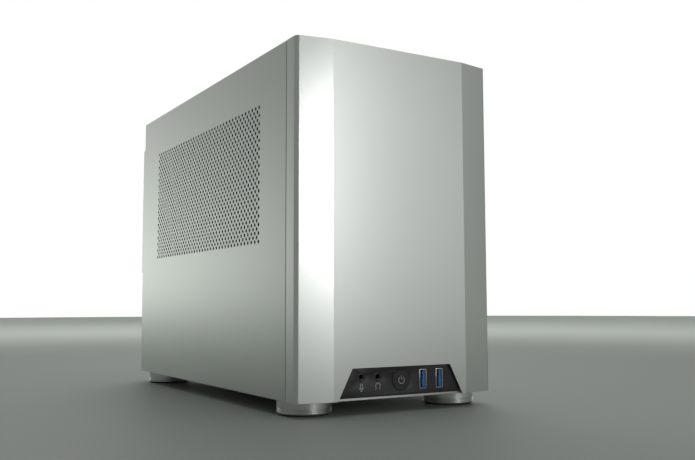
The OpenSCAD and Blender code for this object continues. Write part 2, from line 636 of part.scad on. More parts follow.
lead_d = 6.5;
boot_y = y_back - 32;
module mains_lead() color([0.06, 0.06, 0.06]) {
    y0 = y_wall - 7;
    cable([[inlet_x, boot_y, inlet_z], [inlet_x, boot_y - 24, inlet_z], [inlet_x, boot_y - 44, inlet_z + 6],
        [inlet_x, y0, inlet_z + 6], [inlet_x + 24, y0, inlet_z + 6], [inlet_x + 30, y0, psu_inlet_at[1]],
        [psu_inlet_at[0] - 23, y0, psu_inlet_at[1]]], lead_d, 8);
}

module mains_inlet() color([0.06, 0.06, 0.06]) translate([inlet_x, y_back + 2.5, inlet_z]) rotate([-90, 0, 0]) {
    mains_socket(16.5);
    difference() {
        translate([-25, -11, -2.5]) cube([50, 22, 2.5]);
        translate([-inlet[0] / 2, -inlet[1] / 2, -3]) cube([inlet[0], inlet[1], 4]);
        for (s = [-20, 20]) translate([s, 0, -3]) cylinder(d = 3.3, h = 4);
        for (s = [-20, 20]) translate([s, 0, -1.2]) cylinder(d = 6.4, h = 4);
    }
    translate([0, 0, boot_y - y_back - 2.5]) cylinder(d1 = 8, d2 = 12, h = y_back + 2.5 - boot_y - 19.5);
}

// ---------- mainboard ----------

// Places children on the mainboard: local x is up the board, y to the rear, z out of it
module on_board(v, u) translate([x_board, y_board + u, z_board + v]) rotate([0, -90, 0]) children();

module mainboard() color([0.08, 0.1, 0.1]) difference() {
    block([x_board, y_board, z_board], [x_board + pcb, y_board + board_w, z_board + board_w]);
    for (h = board_holes) rod_x(3.6, [x_board - eps, x_board + pcb + eps], y_board + h[1], z_board + h[0]);
}

// Power headers, drive sockets, the processor, chokes and capacitors
module board_components() color([0.12, 0.12, 0.13]) {
    on_board(100, 1) difference() {
        cube([52, 10, 12]);
        for (i = [0:11], j = [0:1]) translate([1.2 + 4.2 * i, 1 + 4.2 * j, 4]) cube([3.2, 3.2, 10]);
    }
    on_board(158, 46) cube([10, 20, 12]);
    for (k = [0:1]) on_board(58 + 18 * k, 1) cube([16, 10, 9]);
    on_board(34, 1) cube([20, 8, 10]);
    on_board(1.5, 132) cube([4, 24, 8]);
    on_board(75, 72) cube([40, 40, 5]);
    on_board(80, 77) translate([0, 0, 5]) cube([30, 30, 2.9]);
    for (k = [0:5]) on_board(78 + 8.5 * k, 122) cube([7.5, 7.5, 6]);
    for (k = [0:4]) on_board(125, 66 + 9 * k) cube([7.5, 7.5, 6]);
    for (k = [0:7]) on_board(137 + 9 * (k % 2), 60 + 9.5 * floor(k / 2)) cylinder(d = 7.4, h = 8);
    for (k = [0:4]) on_board(22, 122 + 7 * k) cylinder(d = 5.6, h = 7);
    on_board(26, 100) cylinder(d = 20, h = 4);
}

module board_heatsinks() color([0.3, 0.31, 0.33]) {
    on_board(75, 132) comb([56, 12, 24], 7);
    on_board(34, 42) comb([32, 36, 9], 6);
}

// Heat sink block whose fins run along X and stand up along Z
module comb(size, gaps) difference() {
    cube(size);
    for (k = [1:gaps]) translate([-eps, size[1] * k / (gaps + 1) - size[1] / (gaps + 1) / 4, size[2] / 3])
        cube([size[0] + 2 * eps, size[1] / (gaps + 1) / 2, size[2]]);
}

memory_u = [20, 30];
stick = [133.35, 3.6, 31];
slot_body = [142, 6.4, 8.4];
module board_slots() color([0.1, 0.1, 0.11]) {
    for (u = memory_u) on_board(12, u) {
        difference() {
            translate([0, -slot_body[1] / 2, 0]) cube(slot_body);
            translate([4.2, -1, 3]) cube([stick[0] + 0.3, 2, 10]);
        }
        for (s = [-1, 1]) translate([142, s > 0 ? 2.2 : -3.2, 0]) difference() {
            cube([7, 1, 12]);
            translate([4, -eps, 6]) rotate([-90, 0, 0]) cylinder(d = 2.2, h = 2);
        }
    }
    on_board(z_slot - z_board, 25) difference() {
        translate([-3.75, 0, 0]) cube([7.5, 92, 11.2]);
        translate([-1, 2, 3.5]) cube([2, 88, 12]);
    }
}

module memory_sticks() color([0.16, 0.17, 0.19]) for (u = memory_u) on_board(16.35, u) {
    translate([0, -0.65, 3.2]) cube([stick[0], 1.3, stick[2]]);
    difference() {
        translate([1, -stick[1] / 2, 9.4]) cube([stick[0] - 2, stick[1], stick[2] - 6]);
        translate([0, -0.65, 3]) cube([stick[0], 1.3, stick[2] + 0.2]);
    }
}

// Latch at the top end of a memory socket, turning on its pin
module memory_latch(u) color([0.75, 0.75, 0.72]) on_board(12 + 142, u) {
    translate([4, -2, 6]) rotate([-90, 0, 0]) cylinder(d = 4.4, h = 4);
    translate([1.8, -2, 6]) cube([4.4, 4, 7]);
    translate([1.8, -2, 12]) cube([2.4, 4, 8]);
    translate([4, -3.2, 6]) rotate([-90, 0, 0]) cylinder(d = 2, h = 6.4);
}
module memory_latch_front() memory_latch(memory_u[0]);
module memory_latch_rear() memory_latch(memory_u[1]);

// Rear sockets: [height up the board, size up the board, low edge, high edge out of the board, kind]
ports = [[24, 15, 1, 13, "jack"], [24, 15, 14, 26, "jack"], [43, 15, 1, 8.2, "usb"], [43, 15, 9, 16.2, "usb"],
    [43, 15, 17, 31, "lan"], [63, 15, 1, 8.2, "usb"], [63, 15, 9, 16.2, "usb"], [83, 15.6, 1, 7, "video"],
    [83, 15.6, 10, 16, "video"], [103, 15, 1, 8.2, "usb"], [103, 15, 9, 16.2, "usb"], [123, 15, 1, 8.2, "usb"],
    [123, 15, 9, 16.2, "usb"], [144, 14, 1, 15, "lan"]];
port_y = [y_back_in - 18, y_back + 0.4];

port_wall = 0.6;

module port_hollow(p, len) {
    if (p[4] == "jack") translate([p[1] / 2, -len, (p[2] + p[3]) / 2]) rotate([-90, 0, 0])
        cylinder(d = jack_d, h = len + eps);
    else translate([port_wall, -len, p[2] + port_wall])
        cube([p[1] - 2 * port_wall, len + eps, p[3] - p[2] - 2 * port_wall]);
}

// Metal shells of the rear sockets, with a contact tongue in each USB and video socket
module rear_ports() color([0.7, 0.71, 0.72]) for (p = ports)
    on_board(p[0], port_y[1] - y_board) {
        len = p[4] == "lan" ? 14 : 12;
        difference() {
            translate([0, port_y[0] - port_y[1], p[2]]) cube([p[1], port_y[1] - port_y[0], p[3] - p[2]]);
            port_hollow(p, len);
        }
        if (p[4] == "usb" || p[4] == "video") translate([p[1] / 2, -len, (p[2] + p[3]) / 2 - 0.9])
            translate([-p[1] / 2 + 2, 0, 0]) cube([p[1] - 4, len - 1, 1.8]);
    }

module io_shield() color([0.75, 0.76, 0.77]) difference() {
    block([aperture_x[0] + fit, y_back_in, aperture_z[0] + fit],
        [aperture_x[1] - fit, y_back_in + 0.8, z_rim - sheet - 1 - fit]);
    for (p = ports) on_board(p[0], y_back_in - y_board) translate([-fit, -eps, p[2] - fit])
        cube([p[1] + 2 * fit, 2, p[3] - p[2] + 2 * fit]);
}

// ---------- processor cooler ----------

pipe_d = 6;
pipes = [-13.5, -4.5, 4.5, 13.5];
cooler_w = thin_fan[0];
pipe_rise = (fins_out[0] + fins_out[1]) / 2;

module at_cpu() translate([x_board, cpu[1], cpu[0]]) rotate([0, -90, 0]) children();
module at_cooler() at_cpu() mirror([0, 1, 0]) children();

// Base block and four heat pipes that run out of it, round and back through the fins
module cooler_base() color([0.72, 0.45, 0.3]) at_cooler() {
    base_mid = 13;
    reach = cooler_w / 2 + 3;
    radius = (pipe_rise - base_mid) / 2;
    difference() {
        translate([-20, -20, 7.9]) cube([40, 40, 10]);
        for (v = pipes) translate([v, 0, base_mid]) rotate([90, 0, 0])
            cylinder(d = pipe_d + 0.1, h = 60, center = true);
    }
    for (v = pipes) translate([v, 0, 0]) {
        translate([0, -20, base_mid]) rotate([-90, 0, 0]) cylinder(d = pipe_d, h = 20 + reach - 12);
        translate([0, reach - 12, base_mid + radius]) rotate([0, 90, 0])
            rotate_extrude(angle = 180) translate([radius, 0]) circle(d = pipe_d);
        translate([0, -cooler_w / 2 + 2, pipe_rise]) rotate([-90, 0, 0])
            cylinder(d = pipe_d, h = cooler_w / 2 - 2 + reach - 12);
    }
}

fin_pitch = 2.6;
module cooler_fins() color([0.75, 0.76, 0.77]) at_cooler() difference() {
    union() {
        for (k = [0:29]) translate([-cooler_w / 2, -cooler_w / 2 + 1 + k * fin_pitch, fins_out[0]])
            cube([cooler_w, 0.5, fins_out[1] - fins_out[0]]);
        for (s = [-1, 1]) translate([s * (cooler_w / 2 - 4) - 1, -cooler_w / 2 + 1, fins_out[0]])
            cube([2, 29 * fin_pitch + 0.5, 1]);
    }
    for (v = pipes) translate([v, 0, pipe_rise]) rotate([90, 0, 0])
        cylinder(d = pipe_d + 0.1, h = 2 * cooler_w, center = true);
}

module cooler_fan_frame() color([0.62, 0.64, 0.66]) at_cpu() translate([0, 0, fins_out[1] + 0.4])
    fan_frame(thin_fan[0], thin_fan[1], 82.5);
module cooler_fan_rotor() color([0.2, 0.21, 0.22]) at_cpu() translate([0, 0, fins_out[1] + 0.4])
    rotor(thin_fan[0] - 6, 3, thin_fan[1] - 1, 36, 7, 32);

// ---------- case fans ----------

side_fans = [fan_y - side_fan[0] / 2 - 0.2, fan_y + side_fan[0] / 2 + 0.2];
side_fan_screws = [for (y = side_fans, sy = [-1, 1], sz = [-1, 1]) [y + sy * 52.5, fan_z + sz * 52.5]];
module at_side_fan(y) translate([rail_x, y, fan_z]) rotate([0, -90, 0]) children();
module side_fan_frames() color([0.12, 0.12, 0.13]) for (y = side_fans) at_side_fan(y)
    fan_frame(side_fan[0], side_fan[1], 105, 42);
module side_fan_front_rotor() color([0.18, 0.18, 0.19]) at_side_fan(side_fans[0])
    rotor(side_fan[0] - 6, 3, side_fan[1] - 1, 40);
module side_fan_rear_rotor() color([0.18, 0.18, 0.19]) at_side_fan(side_fans[1])
    rotor(side_fan[0] - 6, 3, side_fan[1] - 1, 40);

module at_rear_fan() translate([rear_fan_x, y_back_in - rear_fan[1], rear_fan_z]) rotate([-90, 0, 0]) children();
module rear_fan_frame() color([0.12, 0.12, 0.13]) at_rear_fan() fan_frame(rear_fan[0], rear_fan[1], 82.5);
module rear_fan_rotor() color([0.18, 0.18, 0.19]) at_rear_fan() rotor(rear_fan[0] - 6, 3, rear_fan[1] - 1);

// ---------- graphics card ----------

module graphics_board() color([0.07, 0.08, 0.09]) {
    block([card_x[0], card_y[0], z_slot - pcb / 2], [card_x[1], card_y[1], z_slot + pcb / 2]);
    block([card_x[1], y_board + 28, z_slot - pcb / 2], [x_board - 4, y_board + 112, z_slot + pcb / 2]);
    block([card_x[0], card_y[0], z_slot + pcb / 2 + 1], [card_x[1], card_y[1] - 15, z_slot + pcb / 2 + 2]);
    for (x = [card_x[0] + 8, card_x[1] - 8], y = [card_y[0] + 8, card_y[1] - 23])
        rod_z(6, x, y, [z_slot + pcb / 2, z_slot + pcb / 2 + 1]);
    block([card_x[0] - 4, card_y[0] + 30, z_slot + pcb / 2 + 2],
        [card_x[0] + 8, card_y[0] + 50, z_slot + pcb / 2 + 12]);
}

video_x = [for (k = [0:3]) card_x[0] + 14 + 21 * k];
module graphics_bracket() color([0.72, 0.73, 0.74]) {
    y = [y_back_in - 1, y_back_in];
    z_port = z_slot - pcb / 2 - 6;
    difference() {
        block([bracket_x[0], y[0], slot_z[1] - bracket_h / 2], [bracket_x[1], y[1], slot_z[0] + bracket_h / 2]);
        for (k = [0:1]) rod_y(3.6, thumb_x, [y[0] - eps, y[1] + eps], slot_z[k]);
        for (x = video_x) block([x - fit, y[0] - eps, z_port - fit], [x + 16 + fit, y[1] + eps, z_port + 6 + fit]);
        for (k = [0:13]) block([card_x[0] + 8 + 6.2 * k, y[0] - eps, slot_z[1] - 6],
            [card_x[0] + 12 + 6.2 * k, y[1] + eps, slot_z[1] + 10]);
    }
    for (x = video_x) difference() {
        block([x, y[0] - 13, z_port], [x + 16, y[1] + 1, z_port + 6]);
        block([x + 0.5, y[0] - 9, z_port + 0.5], [x + 15.5, y[1] + 1 + eps, z_port + 5.5]);
    }
    for (x = video_x) block([x + 2, y[0] - 9, z_port + 2.2], [x + 14, y[1], z_port + 3.8]);
    for (x = [card_x[0] + 10, card_x[1] - 22])
        block([x, card_y[1] - 12, z_slot + pcb / 2], [x + 12, y[0], z_slot + pcb / 2 + 1]);
}

module slot_cover() color([0.72, 0.73, 0.74]) difference() {
    block([bracket_x[0], y_back_in - 1, slot_z[2] - bracket_h / 2],
        [bracket_x[1], y_back_in, slot_z[2] + bracket_h / 2]);
    rod_y(3.6, thumb_x, [y_back_in - 1 - eps, y_back_in + eps], slot_z[2]);
}

module graphics_heatsink() color([0.75, 0.76, 0.77])
    difference() {
        x = [card_x[0] + 2, card_x[1] - 4];
        y = [card_y[0] + 4, shroud_y[1] - 4];
        pitch = 5;
        n = floor((y[1] - y[0]) / pitch) - 1;
        block([x[0], y[0], z_slot - 22], [x[1], y[1], z_slot - 1.8]);
        for (k = [0:n]) block([x[0] - eps, y[0] + 1.4 + k * pitch, z_slot - 22 - eps],
            [x[1] + eps, y[0] + 1.4 + k * pitch + 3.6, z_slot - 5]);
    }

shroud_x = [card_x[0] - 4, card_x[1] - 1.7];
card_rotor_z = [z_slot - 37, z_slot - 27];
module graphics_shroud() color([0.1, 0.1, 0.11]) {
    difference() {
        block([shroud_x[0], shroud_y[0], shroud_z[0]], [shroud_x[1], shroud_y[1], shroud_z[1]]);
        block([shroud_x[0] + 1.5, shroud_y[0] + 1.5, shroud_z[0] + 2.5],
            [shroud_x[1] - 1.5, shroud_y[1] - 1.5, shroud_z[1] + eps]);
        for (y = card_fans) rod_z(card_fan_d, card_mid_x, y, [shroud_z[0] - eps, shroud_z[0] + 3]);
    }
    for (y = card_fans) {
        rod_z(26, card_mid_x, y, [card_rotor_z[1] + 0.6, card_rotor_z[1] + 2.6]);
        for (sx = [-1, 1], a = [0]) block([sx > 0 ? card_mid_x + 10 : shroud_x[0] + 1, y - 2, card_rotor_z[1] + 0.6],
            [sx > 0 ? shroud_x[1] - 1 : card_mid_x - 10, y + 2, card_rotor_z[1] + 2.6]);
    }
}
module graphics_rotor(y) color([0.16, 0.16, 0.17]) translate([card_mid_x, y, 0])
    rotor(card_fan_d - 3, card_rotor_z[0], card_rotor_z[1], 28, 11, 35);
module graphics_front_rotor() graphics_rotor(card_fans[0]);
module graphics_rear_rotor() graphics_rotor(card_fans[1]);

// ---------- cables and fixings ----------

// Flat bundle to the mainboard and round bundle to the graphics card
module power_cables() color([0.05, 0.05, 0.05]) {
    x = psu_x[0] + 22;
    y = [psu_in[1] + 1, y_board + 6];
    z = psu_socket_z[2];
    bundle = 7;
    outer = rounded([[x, y[0]], [x, y[1]], [x_board - 12, y[1]]], 13, 6);
    inner = rounded([[x + bundle, y[0]], [x + bundle, y[1] - bundle], [x_board - 12, y[1] - bundle]], 6, 6);
    translate([0, 0, z_board + 126 - 24]) linear_extrude(48)
        polygon(concat([for (p = outer) p + [0, bundle / 2]],
            [for (k = [len(inner) - 1:-1:0]) inner[k] + [0, bundle / 2]]));
    cable([[x, psu_in[1] + 1, psu_socket_z[0]], [x, psu_in[1] + 15, psu_socket_z[0]],
        [card_x[0] + 16, psu_in[1] + 15, psu_socket_z[0] - 4],
        [card_x[0] + 16, card_y[0] + 40, fan_z - side_fan[0] / 2 - 7],
        [card_x[0] - 14, card_y[0] + 40, fan_z - side_fan[0] / 2 - 7],
        [card_x[0] - 14, card_y[0] + 40, z_slot + 7.8], [card_x[0] - 4, card_y[0] + 40, z_slot + 7.8]], 8, 5);
}

// Screws, standoffs and nuts
module fixings() color([0.62, 0.63, 0.64]) {
    for (p = feet_at) {
        rod_z(8, p[0], p[1], [foot_h - 7, foot_h - 4]);
        rod_z(4, p[0], p[1], [foot_h - 4, z_deck + 3]);
        difference() {
            rod_z(7.5, p[0], p[1], [z_deck, z_deck + 3], $fn = 6);
            rod_z(4.1, p[0], p[1], [z_deck - eps, z_deck + 3 + eps]);
        }
    }
    for (h = board_holes) {
        y = y_board + h[1];
        z = z_board + h[0];
        difference() {
            rod_x(5.6, [x_board + pcb, x_tray], y, z);
            rod_x(3.1, [x_board + pcb - eps, x_tray - 2], y, z);
        }
        rod_x(6, [x_board - 2, x_board], y, z);
        rod_x(3, [x_board - 1, x_board + pcb + 3], y, z);
    }
    for (z = slot_z) {
        rod_y(8, thumb_x, [y_back, y_back + 5], z);
        rod_y(3.4, thumb_x, [y_back - 4, y_back + 1], z);
    }
    for (p = drive_screws) {
        rod_y(5.6, p[0], [y_wall_in, y_wall_in + 1.8], p[1]);
        rod_y(3, p[0], [y_wall - 3.4, y_wall_in + 1], p[1]);
    }
    for (p = side_fan_screws) {
        rod_x(7, [rail_x + sheet, rail_x + sheet + 2], p[0], p[1]);
        rod_x(4, [rail_x - 8, rail_x + sheet + 1], p[0], p[1]);
    }
    for (sx = [-1, 1], sz = [-1, 1]) {
        rod_y(7, rear_fan_x + sx * 41.25, [y_back, y_back + 1.8], rear_fan_z + sz * 41.25);
        rod_y(4, rear_fan_x + sx * 41.25, [y_back_in - 8, y_back + 1], rear_fan_z + sz * 41.25);
    }
    for (sx = [-1, 1]) {
        rod_y(6, inlet_x + sx * 20, [y_back + 1.3, y_back + 2.5], inlet_z);
        rod_y(3, inlet_x + sx * 20, [y_back_in - 3, y_back + 2], inlet_z);
    }
}

front_panel();
front_panel_studs();
left_panel();
left_panel_studs();
right_panel();
right_panel_studs();
top_panel();
top_panel_studs();
bottom_plate();
front_wall();
rear_plate();
frame_rails();
snap_sockets();
mainboard_tray();
fan_rails();
feet();
foot_pads();
fixings();
port_bezel();
port_board();
front_usb_shells();
front_usb_tongues();
front_audio_jacks();
power_button();
solid_state_drive();
psu_case();
psu_grille();
psu_fan_frame();
psu_fan_rotor();
psu_electronics();
psu_switch();
mains_plug();
mains_lead();
mains_inlet();
mainboard();
board_components();
board_heatsinks();
board_slots();
memory_sticks();
memory_latch_front();
memory_latch_rear();
rear_ports();
io_shield();
cooler_base();
cooler_fins();
cooler_fan_frame();
cooler_fan_rotor();
side_fan_frames();
side_fan_front_rotor();
side_fan_rear_rotor();
rear_fan_frame();
rear_fan_rotor();
graphics_board();
graphics_bracket();
graphics_heatsink();
graphics_shroud();
graphics_front_rotor();
graphics_rear_rotor();
slot_cover();
power_cables();
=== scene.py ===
import math
import random

import bmesh
import bpy
from mathutils import Matrix, Vector


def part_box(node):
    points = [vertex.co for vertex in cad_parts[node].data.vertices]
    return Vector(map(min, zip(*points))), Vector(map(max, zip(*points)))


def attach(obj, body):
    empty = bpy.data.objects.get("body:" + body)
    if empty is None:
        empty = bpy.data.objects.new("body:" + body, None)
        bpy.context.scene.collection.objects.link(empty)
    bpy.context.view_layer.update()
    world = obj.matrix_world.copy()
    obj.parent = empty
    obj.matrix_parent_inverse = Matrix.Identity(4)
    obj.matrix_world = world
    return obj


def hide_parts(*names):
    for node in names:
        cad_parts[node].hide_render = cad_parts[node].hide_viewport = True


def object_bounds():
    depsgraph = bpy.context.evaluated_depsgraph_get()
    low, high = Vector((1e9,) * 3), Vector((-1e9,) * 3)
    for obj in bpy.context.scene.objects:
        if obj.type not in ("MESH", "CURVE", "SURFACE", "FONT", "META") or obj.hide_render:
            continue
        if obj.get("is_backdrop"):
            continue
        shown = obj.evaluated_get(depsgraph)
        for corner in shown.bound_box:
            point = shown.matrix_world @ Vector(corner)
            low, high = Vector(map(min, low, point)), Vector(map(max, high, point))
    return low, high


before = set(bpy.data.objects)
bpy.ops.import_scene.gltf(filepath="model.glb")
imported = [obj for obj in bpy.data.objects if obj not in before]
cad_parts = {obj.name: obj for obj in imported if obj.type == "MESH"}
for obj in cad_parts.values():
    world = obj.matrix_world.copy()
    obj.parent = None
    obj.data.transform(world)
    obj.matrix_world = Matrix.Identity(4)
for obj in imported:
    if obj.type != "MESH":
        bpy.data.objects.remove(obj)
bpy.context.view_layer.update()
mm = 0.001

# ---- Camera -------------------------------------------------------------------------------------
# A normal lens ahead of the front and to the left, at under a third of the case's height and tilted
# up slightly, so that the front, the left side and both front feet show.
camera_place = Vector((-324.8, -635.7, 73.3)) * mm
camera_heading = 30.898
camera_tilt = 5.081
camera_roll = -0.144
camera_data = bpy.data.cameras.new("studio_camera")
camera_data.lens = 42.99
camera_data.sensor_width = 36
camera = bpy.data.objects.new("studio_camera", camera_data)
camera.matrix_world = (Matrix.Translation(camera_place)
                       @ Matrix.Rotation(math.radians(-camera_heading), 4, "Z")
                       @ Matrix.Rotation(math.radians(90 + camera_tilt), 4, "X")
                       @ Matrix.Rotation(math.radians(camera_roll), 4, "Z"))
bpy.context.scene.collection.objects.link(camera)
bpy.context.scene.camera = camera
bpy.context.scene.view_settings.view_transform = "Standard"


# ---- Studio -------------------------------------------------------------------------------------
# A matte grey table whose colour holds painted light: darker near the case as painted shade, and
# paler away from it as a painted reflection of the bright air. White air stands beyond it. Three soft
# boxes stand ahead of the front, one hangs overhead and one stands behind; a glow low down lights the
# far side.
# The near colour is painted shade round the case; the far colour is a painted reflection of the bright
# air.
floor_painted_shade = (0.278, 0.299, 0.283)
floor_painted_reflection = (0.75, 0.8, 0.755)
painted_light_reach = (0.6, 1.7)
air_tint = (0.955, 1.0, 0.94, 1)
air_dim = 0.25
back_glow = 1.35
back_heading = 22.0


def new_object(name, mesh):
    made = bpy.data.objects.new(name, mesh)
    bpy.context.scene.collection.objects.link(made)
    return made


def new_material(name):
    """A node material: the material, its node tree and its Principled shader."""
    material = bpy.data.materials.new(name)
    material.use_nodes = True
    tree = material.node_tree
    shader = next(n for n in tree.nodes if n.type == "BSDF_PRINCIPLED")
    return material, tree, shader


def add_node(tree, kind, **settings):
    """A node whose sockets and settings take those values; a name can have no spaces here."""
    made = tree.nodes.new(kind)
    for name, value in settings.items():
        if name in made.inputs:
            made.inputs[name].default_value = value
        else:
            setattr(made, name, value)
    return made


mesh = bpy.data.meshes.new("studio_floor")
build = bmesh.new()
bmesh.ops.create_circle(build, cap_ends=True, segments=96, radius=4.4)
build.to_mesh(mesh)
build.free()
floor = new_object("studio_floor", mesh)
material, tree, shader = new_material("table_with_painted_light")
shader.inputs["Roughness"].default_value = 0.6
shader.inputs["Specular IOR Level"].default_value = 0.3
place = add_node(tree, "ShaderNodeTexCoord")
mottle = add_node(tree, "ShaderNodeTexNoise", Scale=3.0, Detail=4.0)
away = add_node(tree, "ShaderNodeVectorMath", operation="LENGTH")
# The colour ramps with distance from painted shade round the case to a painted reflection far off.
painted_light_ramp = add_node(tree, "ShaderNodeMapRange", interpolation_type="SMOOTHSTEP")
painted_light_ramp.inputs["From Min"].default_value, painted_light_ramp.inputs["From Max"].default_value = painted_light_reach
painted_light_mix = add_node(tree, "ShaderNodeMix", data_type="RGBA")
painted_light_mix.inputs["A"].default_value = (*floor_painted_shade, 1)
painted_light_mix.inputs["B"].default_value = (*floor_painted_reflection, 1)
blotch = add_node(tree, "ShaderNodeMix", data_type="RGBA", blend_type="MULTIPLY")
blotch.inputs["B"].default_value = (0.94, 0.94, 0.94, 1)
tree.links.new(place.outputs["Object"], mottle.inputs["Vector"])
tree.links.new(place.outputs["Object"], away.inputs[0])
tree.links.new(away.outputs["Value"], painted_light_ramp.inputs["Value"])
tree.links.new(painted_light_ramp.outputs["Result"], painted_light_mix.inputs["Factor"])
tree.links.new(painted_light_mix.outputs["Result"], blotch.inputs["A"])
tree.links.new(mottle.outputs["Fac"], blotch.inputs["Factor"])
tree.links.new(blotch.outputs["Result"], shader.inputs["Base Color"])
mesh.materials.append(material)
floor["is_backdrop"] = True


def soft_box(name, azimuth, height, distance, size, watts):
    """An area light that faces the case's middle; azimuth 0 is straight ahead of the front."""
    data = bpy.data.lights.new(name, "AREA")
    data.shape = "RECTANGLE"
    data.size, data.size_y = size
    data.energy = watts
    lamp = bpy.data.objects.new(name, data)
    turn = math.radians(azimuth)
    lamp.location = (distance * math.sin(turn), -distance * math.cos(turn), height)
    aim = Vector((0, 0, 0.13)) - lamp.location
    lamp.rotation_euler = aim.to_track_quat("-Z", "Y").to_euler()
    lamp.visible_camera = False
    bpy.context.scene.collection.objects.link(lamp)


soft_box("front_soft_box", 9, 0.4, 1.9, (0.34, 0.48), 3.2)
soft_box("strip_soft_box", 22, 0.44, 1.9, (0.2, 0.75), 1.0)
soft_box("wide_front_box", 38, 0.75, 2.0, (1.3, 1.7), 1.9)
soft_box("overhead_soft_box", 0, 2.4, 0.2, (1.8, 1.8), 13)
soft_box("rear_soft_box", 155, 1.7, 1.8, (1.3, 1.3), 9)

world = bpy.data.worlds.new("studio_air")
world.use_nodes = True
bpy.context.scene.world = world
tree = world.node_tree
lit = tree.nodes["Background"]
lit.inputs["Color"].default_value = air_tint
seen = add_node(tree, "ShaderNodeBackground", Color=(1, 1, 1, 1), Strength=1.0)
choose = add_node(tree, "ShaderNodeMixShader")
path = add_node(tree, "ShaderNodeLightPath")
tree.links.new(path.outputs["Is Camera Ray"], choose.inputs["Fac"])
tree.links.new(lit.outputs["Background"], choose.inputs[1])
tree.links.new(seen.outputs["Background"], choose.inputs[2])
tree.links.new(choose.outputs["Shader"], tree.nodes["World Output"].inputs["Surface"])
way = add_node(tree, "ShaderNodeTexCoord")
toward = add_node(tree, "ShaderNodeVectorMath", operation="DOT_PRODUCT")
toward.inputs[1].default_value = (math.sin(math.radians(back_heading)),
                                  math.cos(math.radians(back_heading)), 0)
around = add_node(tree, "ShaderNodeMapRange", interpolation_type="SMOOTHSTEP")
around.inputs["From Min"].default_value = math.cos(math.radians(56))
around.inputs["From Max"].default_value = math.cos(math.radians(30))
parts = add_node(tree, "ShaderNodeSeparateXYZ")
height = add_node(tree, "ShaderNodeMapRange", interpolation_type="SMOOTHSTEP")
height.inputs["From Min"].default_value = 0.02
height.inputs["From Max"].default_value = 0.3
height.inputs["To Min"].default_value = back_glow
height.inputs["To Max"].default_value = back_glow * 0.3
glow = add_node(tree, "ShaderNodeMath", operation="MULTIPLY_ADD")
glow.inputs[2].default_value = air_dim
tree.links.new(way.outputs["Generated"], toward.inputs[0])
tree.links.new(way.outputs["Generated"], parts.inputs["Vector"])
tree.links.new(toward.outputs["Value"], around.inputs["Value"])
tree.links.new(parts.outputs["Z"], height.inputs["Value"])
tree.links.new(around.outputs["Result"], glow.inputs[0])
tree.links.new(height.outputs["Result"], glow.inputs[1])
tree.links.new(glow.outputs["Value"], lit.inputs["Strength"])


# ---- Chassis sheets -----------------------------------------------------------------------------
# The skeleton: bottom plate, front wall, rear plate, top bars and flanges, mainboard tray and fan
# rails. All are rolled aluminium sheet, cut, folded, barrel deburred and anodised clear.
sheet_edge = 0.2 * mm
chassis_colour = (0.6, 0.615, 0.61)


def surface_group(name, inputs, outputs):
    """A shader group with number inputs and outputs, and its two end nodes."""
    group = bpy.data.node_groups.new(name, "ShaderNodeTree")
    for label, default in inputs:
        socket = group.interface.new_socket(name=label, in_out="INPUT", socket_type="NodeSocketFloat")
        socket.default_value = default
    for label in outputs:
        group.interface.new_socket(name=label, in_out="OUTPUT", socket_type="NodeSocketFloat")
    return group, group.nodes.new("NodeGroupInput"), group.nodes.new("NodeGroupOutput")


def math_node(tree, operation, *values):
    """The output of a math node whose inputs are numbers or outputs of other nodes."""
    made = tree.nodes.new("ShaderNodeMath")
    made.operation = operation
    for socket, value in zip(made.inputs, values):
        if isinstance(value, (int, float)):
            socket.default_value = value
        else:
            tree.links.new(value, socket)
    return made.outputs[0]


# The pitted grain that blasting or a mould leaves: a height for a bump, and a slow cloud for tone
grain, enter, leave = surface_group("blasted_grain", [("Grain Scale", 6000.0), ("Cloud Scale", 14.0)],
                                    ["Height", "Cloud"])
place = add_node(grain, "ShaderNodeTexCoord")
pits = add_node(grain, "ShaderNodeTexNoise", Detail=2.0, Roughness=0.6)
cloud = add_node(grain, "ShaderNodeTexNoise", Detail=5.0, Roughness=0.55)
grain.links.new(place.outputs["Object"], pits.inputs["Vector"])
grain.links.new(place.outputs["Object"], cloud.inputs["Vector"])
grain.links.new(enter.outputs["Grain Scale"], pits.inputs["Scale"])
grain.links.new(enter.outputs["Cloud Scale"], cloud.inputs["Scale"])
grain.links.new(pits.outputs["Fac"], leave.inputs["Height"])
grain.links.new(cloud.outputs["Fac"], leave.inputs["Cloud"])

# Bright wear on outward corners, from how sharply the surface turns
wear, enter, leave = surface_group("corner_wear", [("Start", 0.53), ("Width", 0.08)], ["Mask"])
turning = add_node(wear, "ShaderNodeNewGeometry")
above = math_node(wear, "SUBTRACT", turning.outputs["Pointiness"], enter.outputs["Start"])
share = math_node(wear, "DIVIDE", above, enter.outputs["Width"])
held = add_node(wear, "ShaderNodeClamp")
wear.links.new(share, held.inputs["Value"])
wear.links.new(held.outputs["Result"], leave.inputs["Mask"])

# Fine parallel lines of a rolled or brushed sheet: how often they change along each axis
rolled, enter, leave = surface_group("rolled_lines", [("Along X", 300.0), ("Along Y", 8.0),
                                                      ("Along Z", 300.0)], ["Line"])
place = add_node(rolled, "ShaderNodeTexCoord")
stretch = add_node(rolled, "ShaderNodeCombineXYZ")
laid = add_node(rolled, "ShaderNodeVectorMath", operation="MULTIPLY")
lines = add_node(rolled, "ShaderNodeTexNoise", Scale=1.0, Detail=3.0, Roughness=0.7)
for axis in "XYZ":
    rolled.links.new(enter.outputs["Along " + axis], stretch.inputs[axis])
rolled.links.new(place.outputs["Object"], laid.inputs[0])
rolled.links.new(stretch.outputs["Vector"], laid.inputs[1])
rolled.links.new(laid.outputs["Vector"], lines.inputs["Vector"])
rolled.links.new(lines.outputs["Fac"], leave.inputs["Line"])


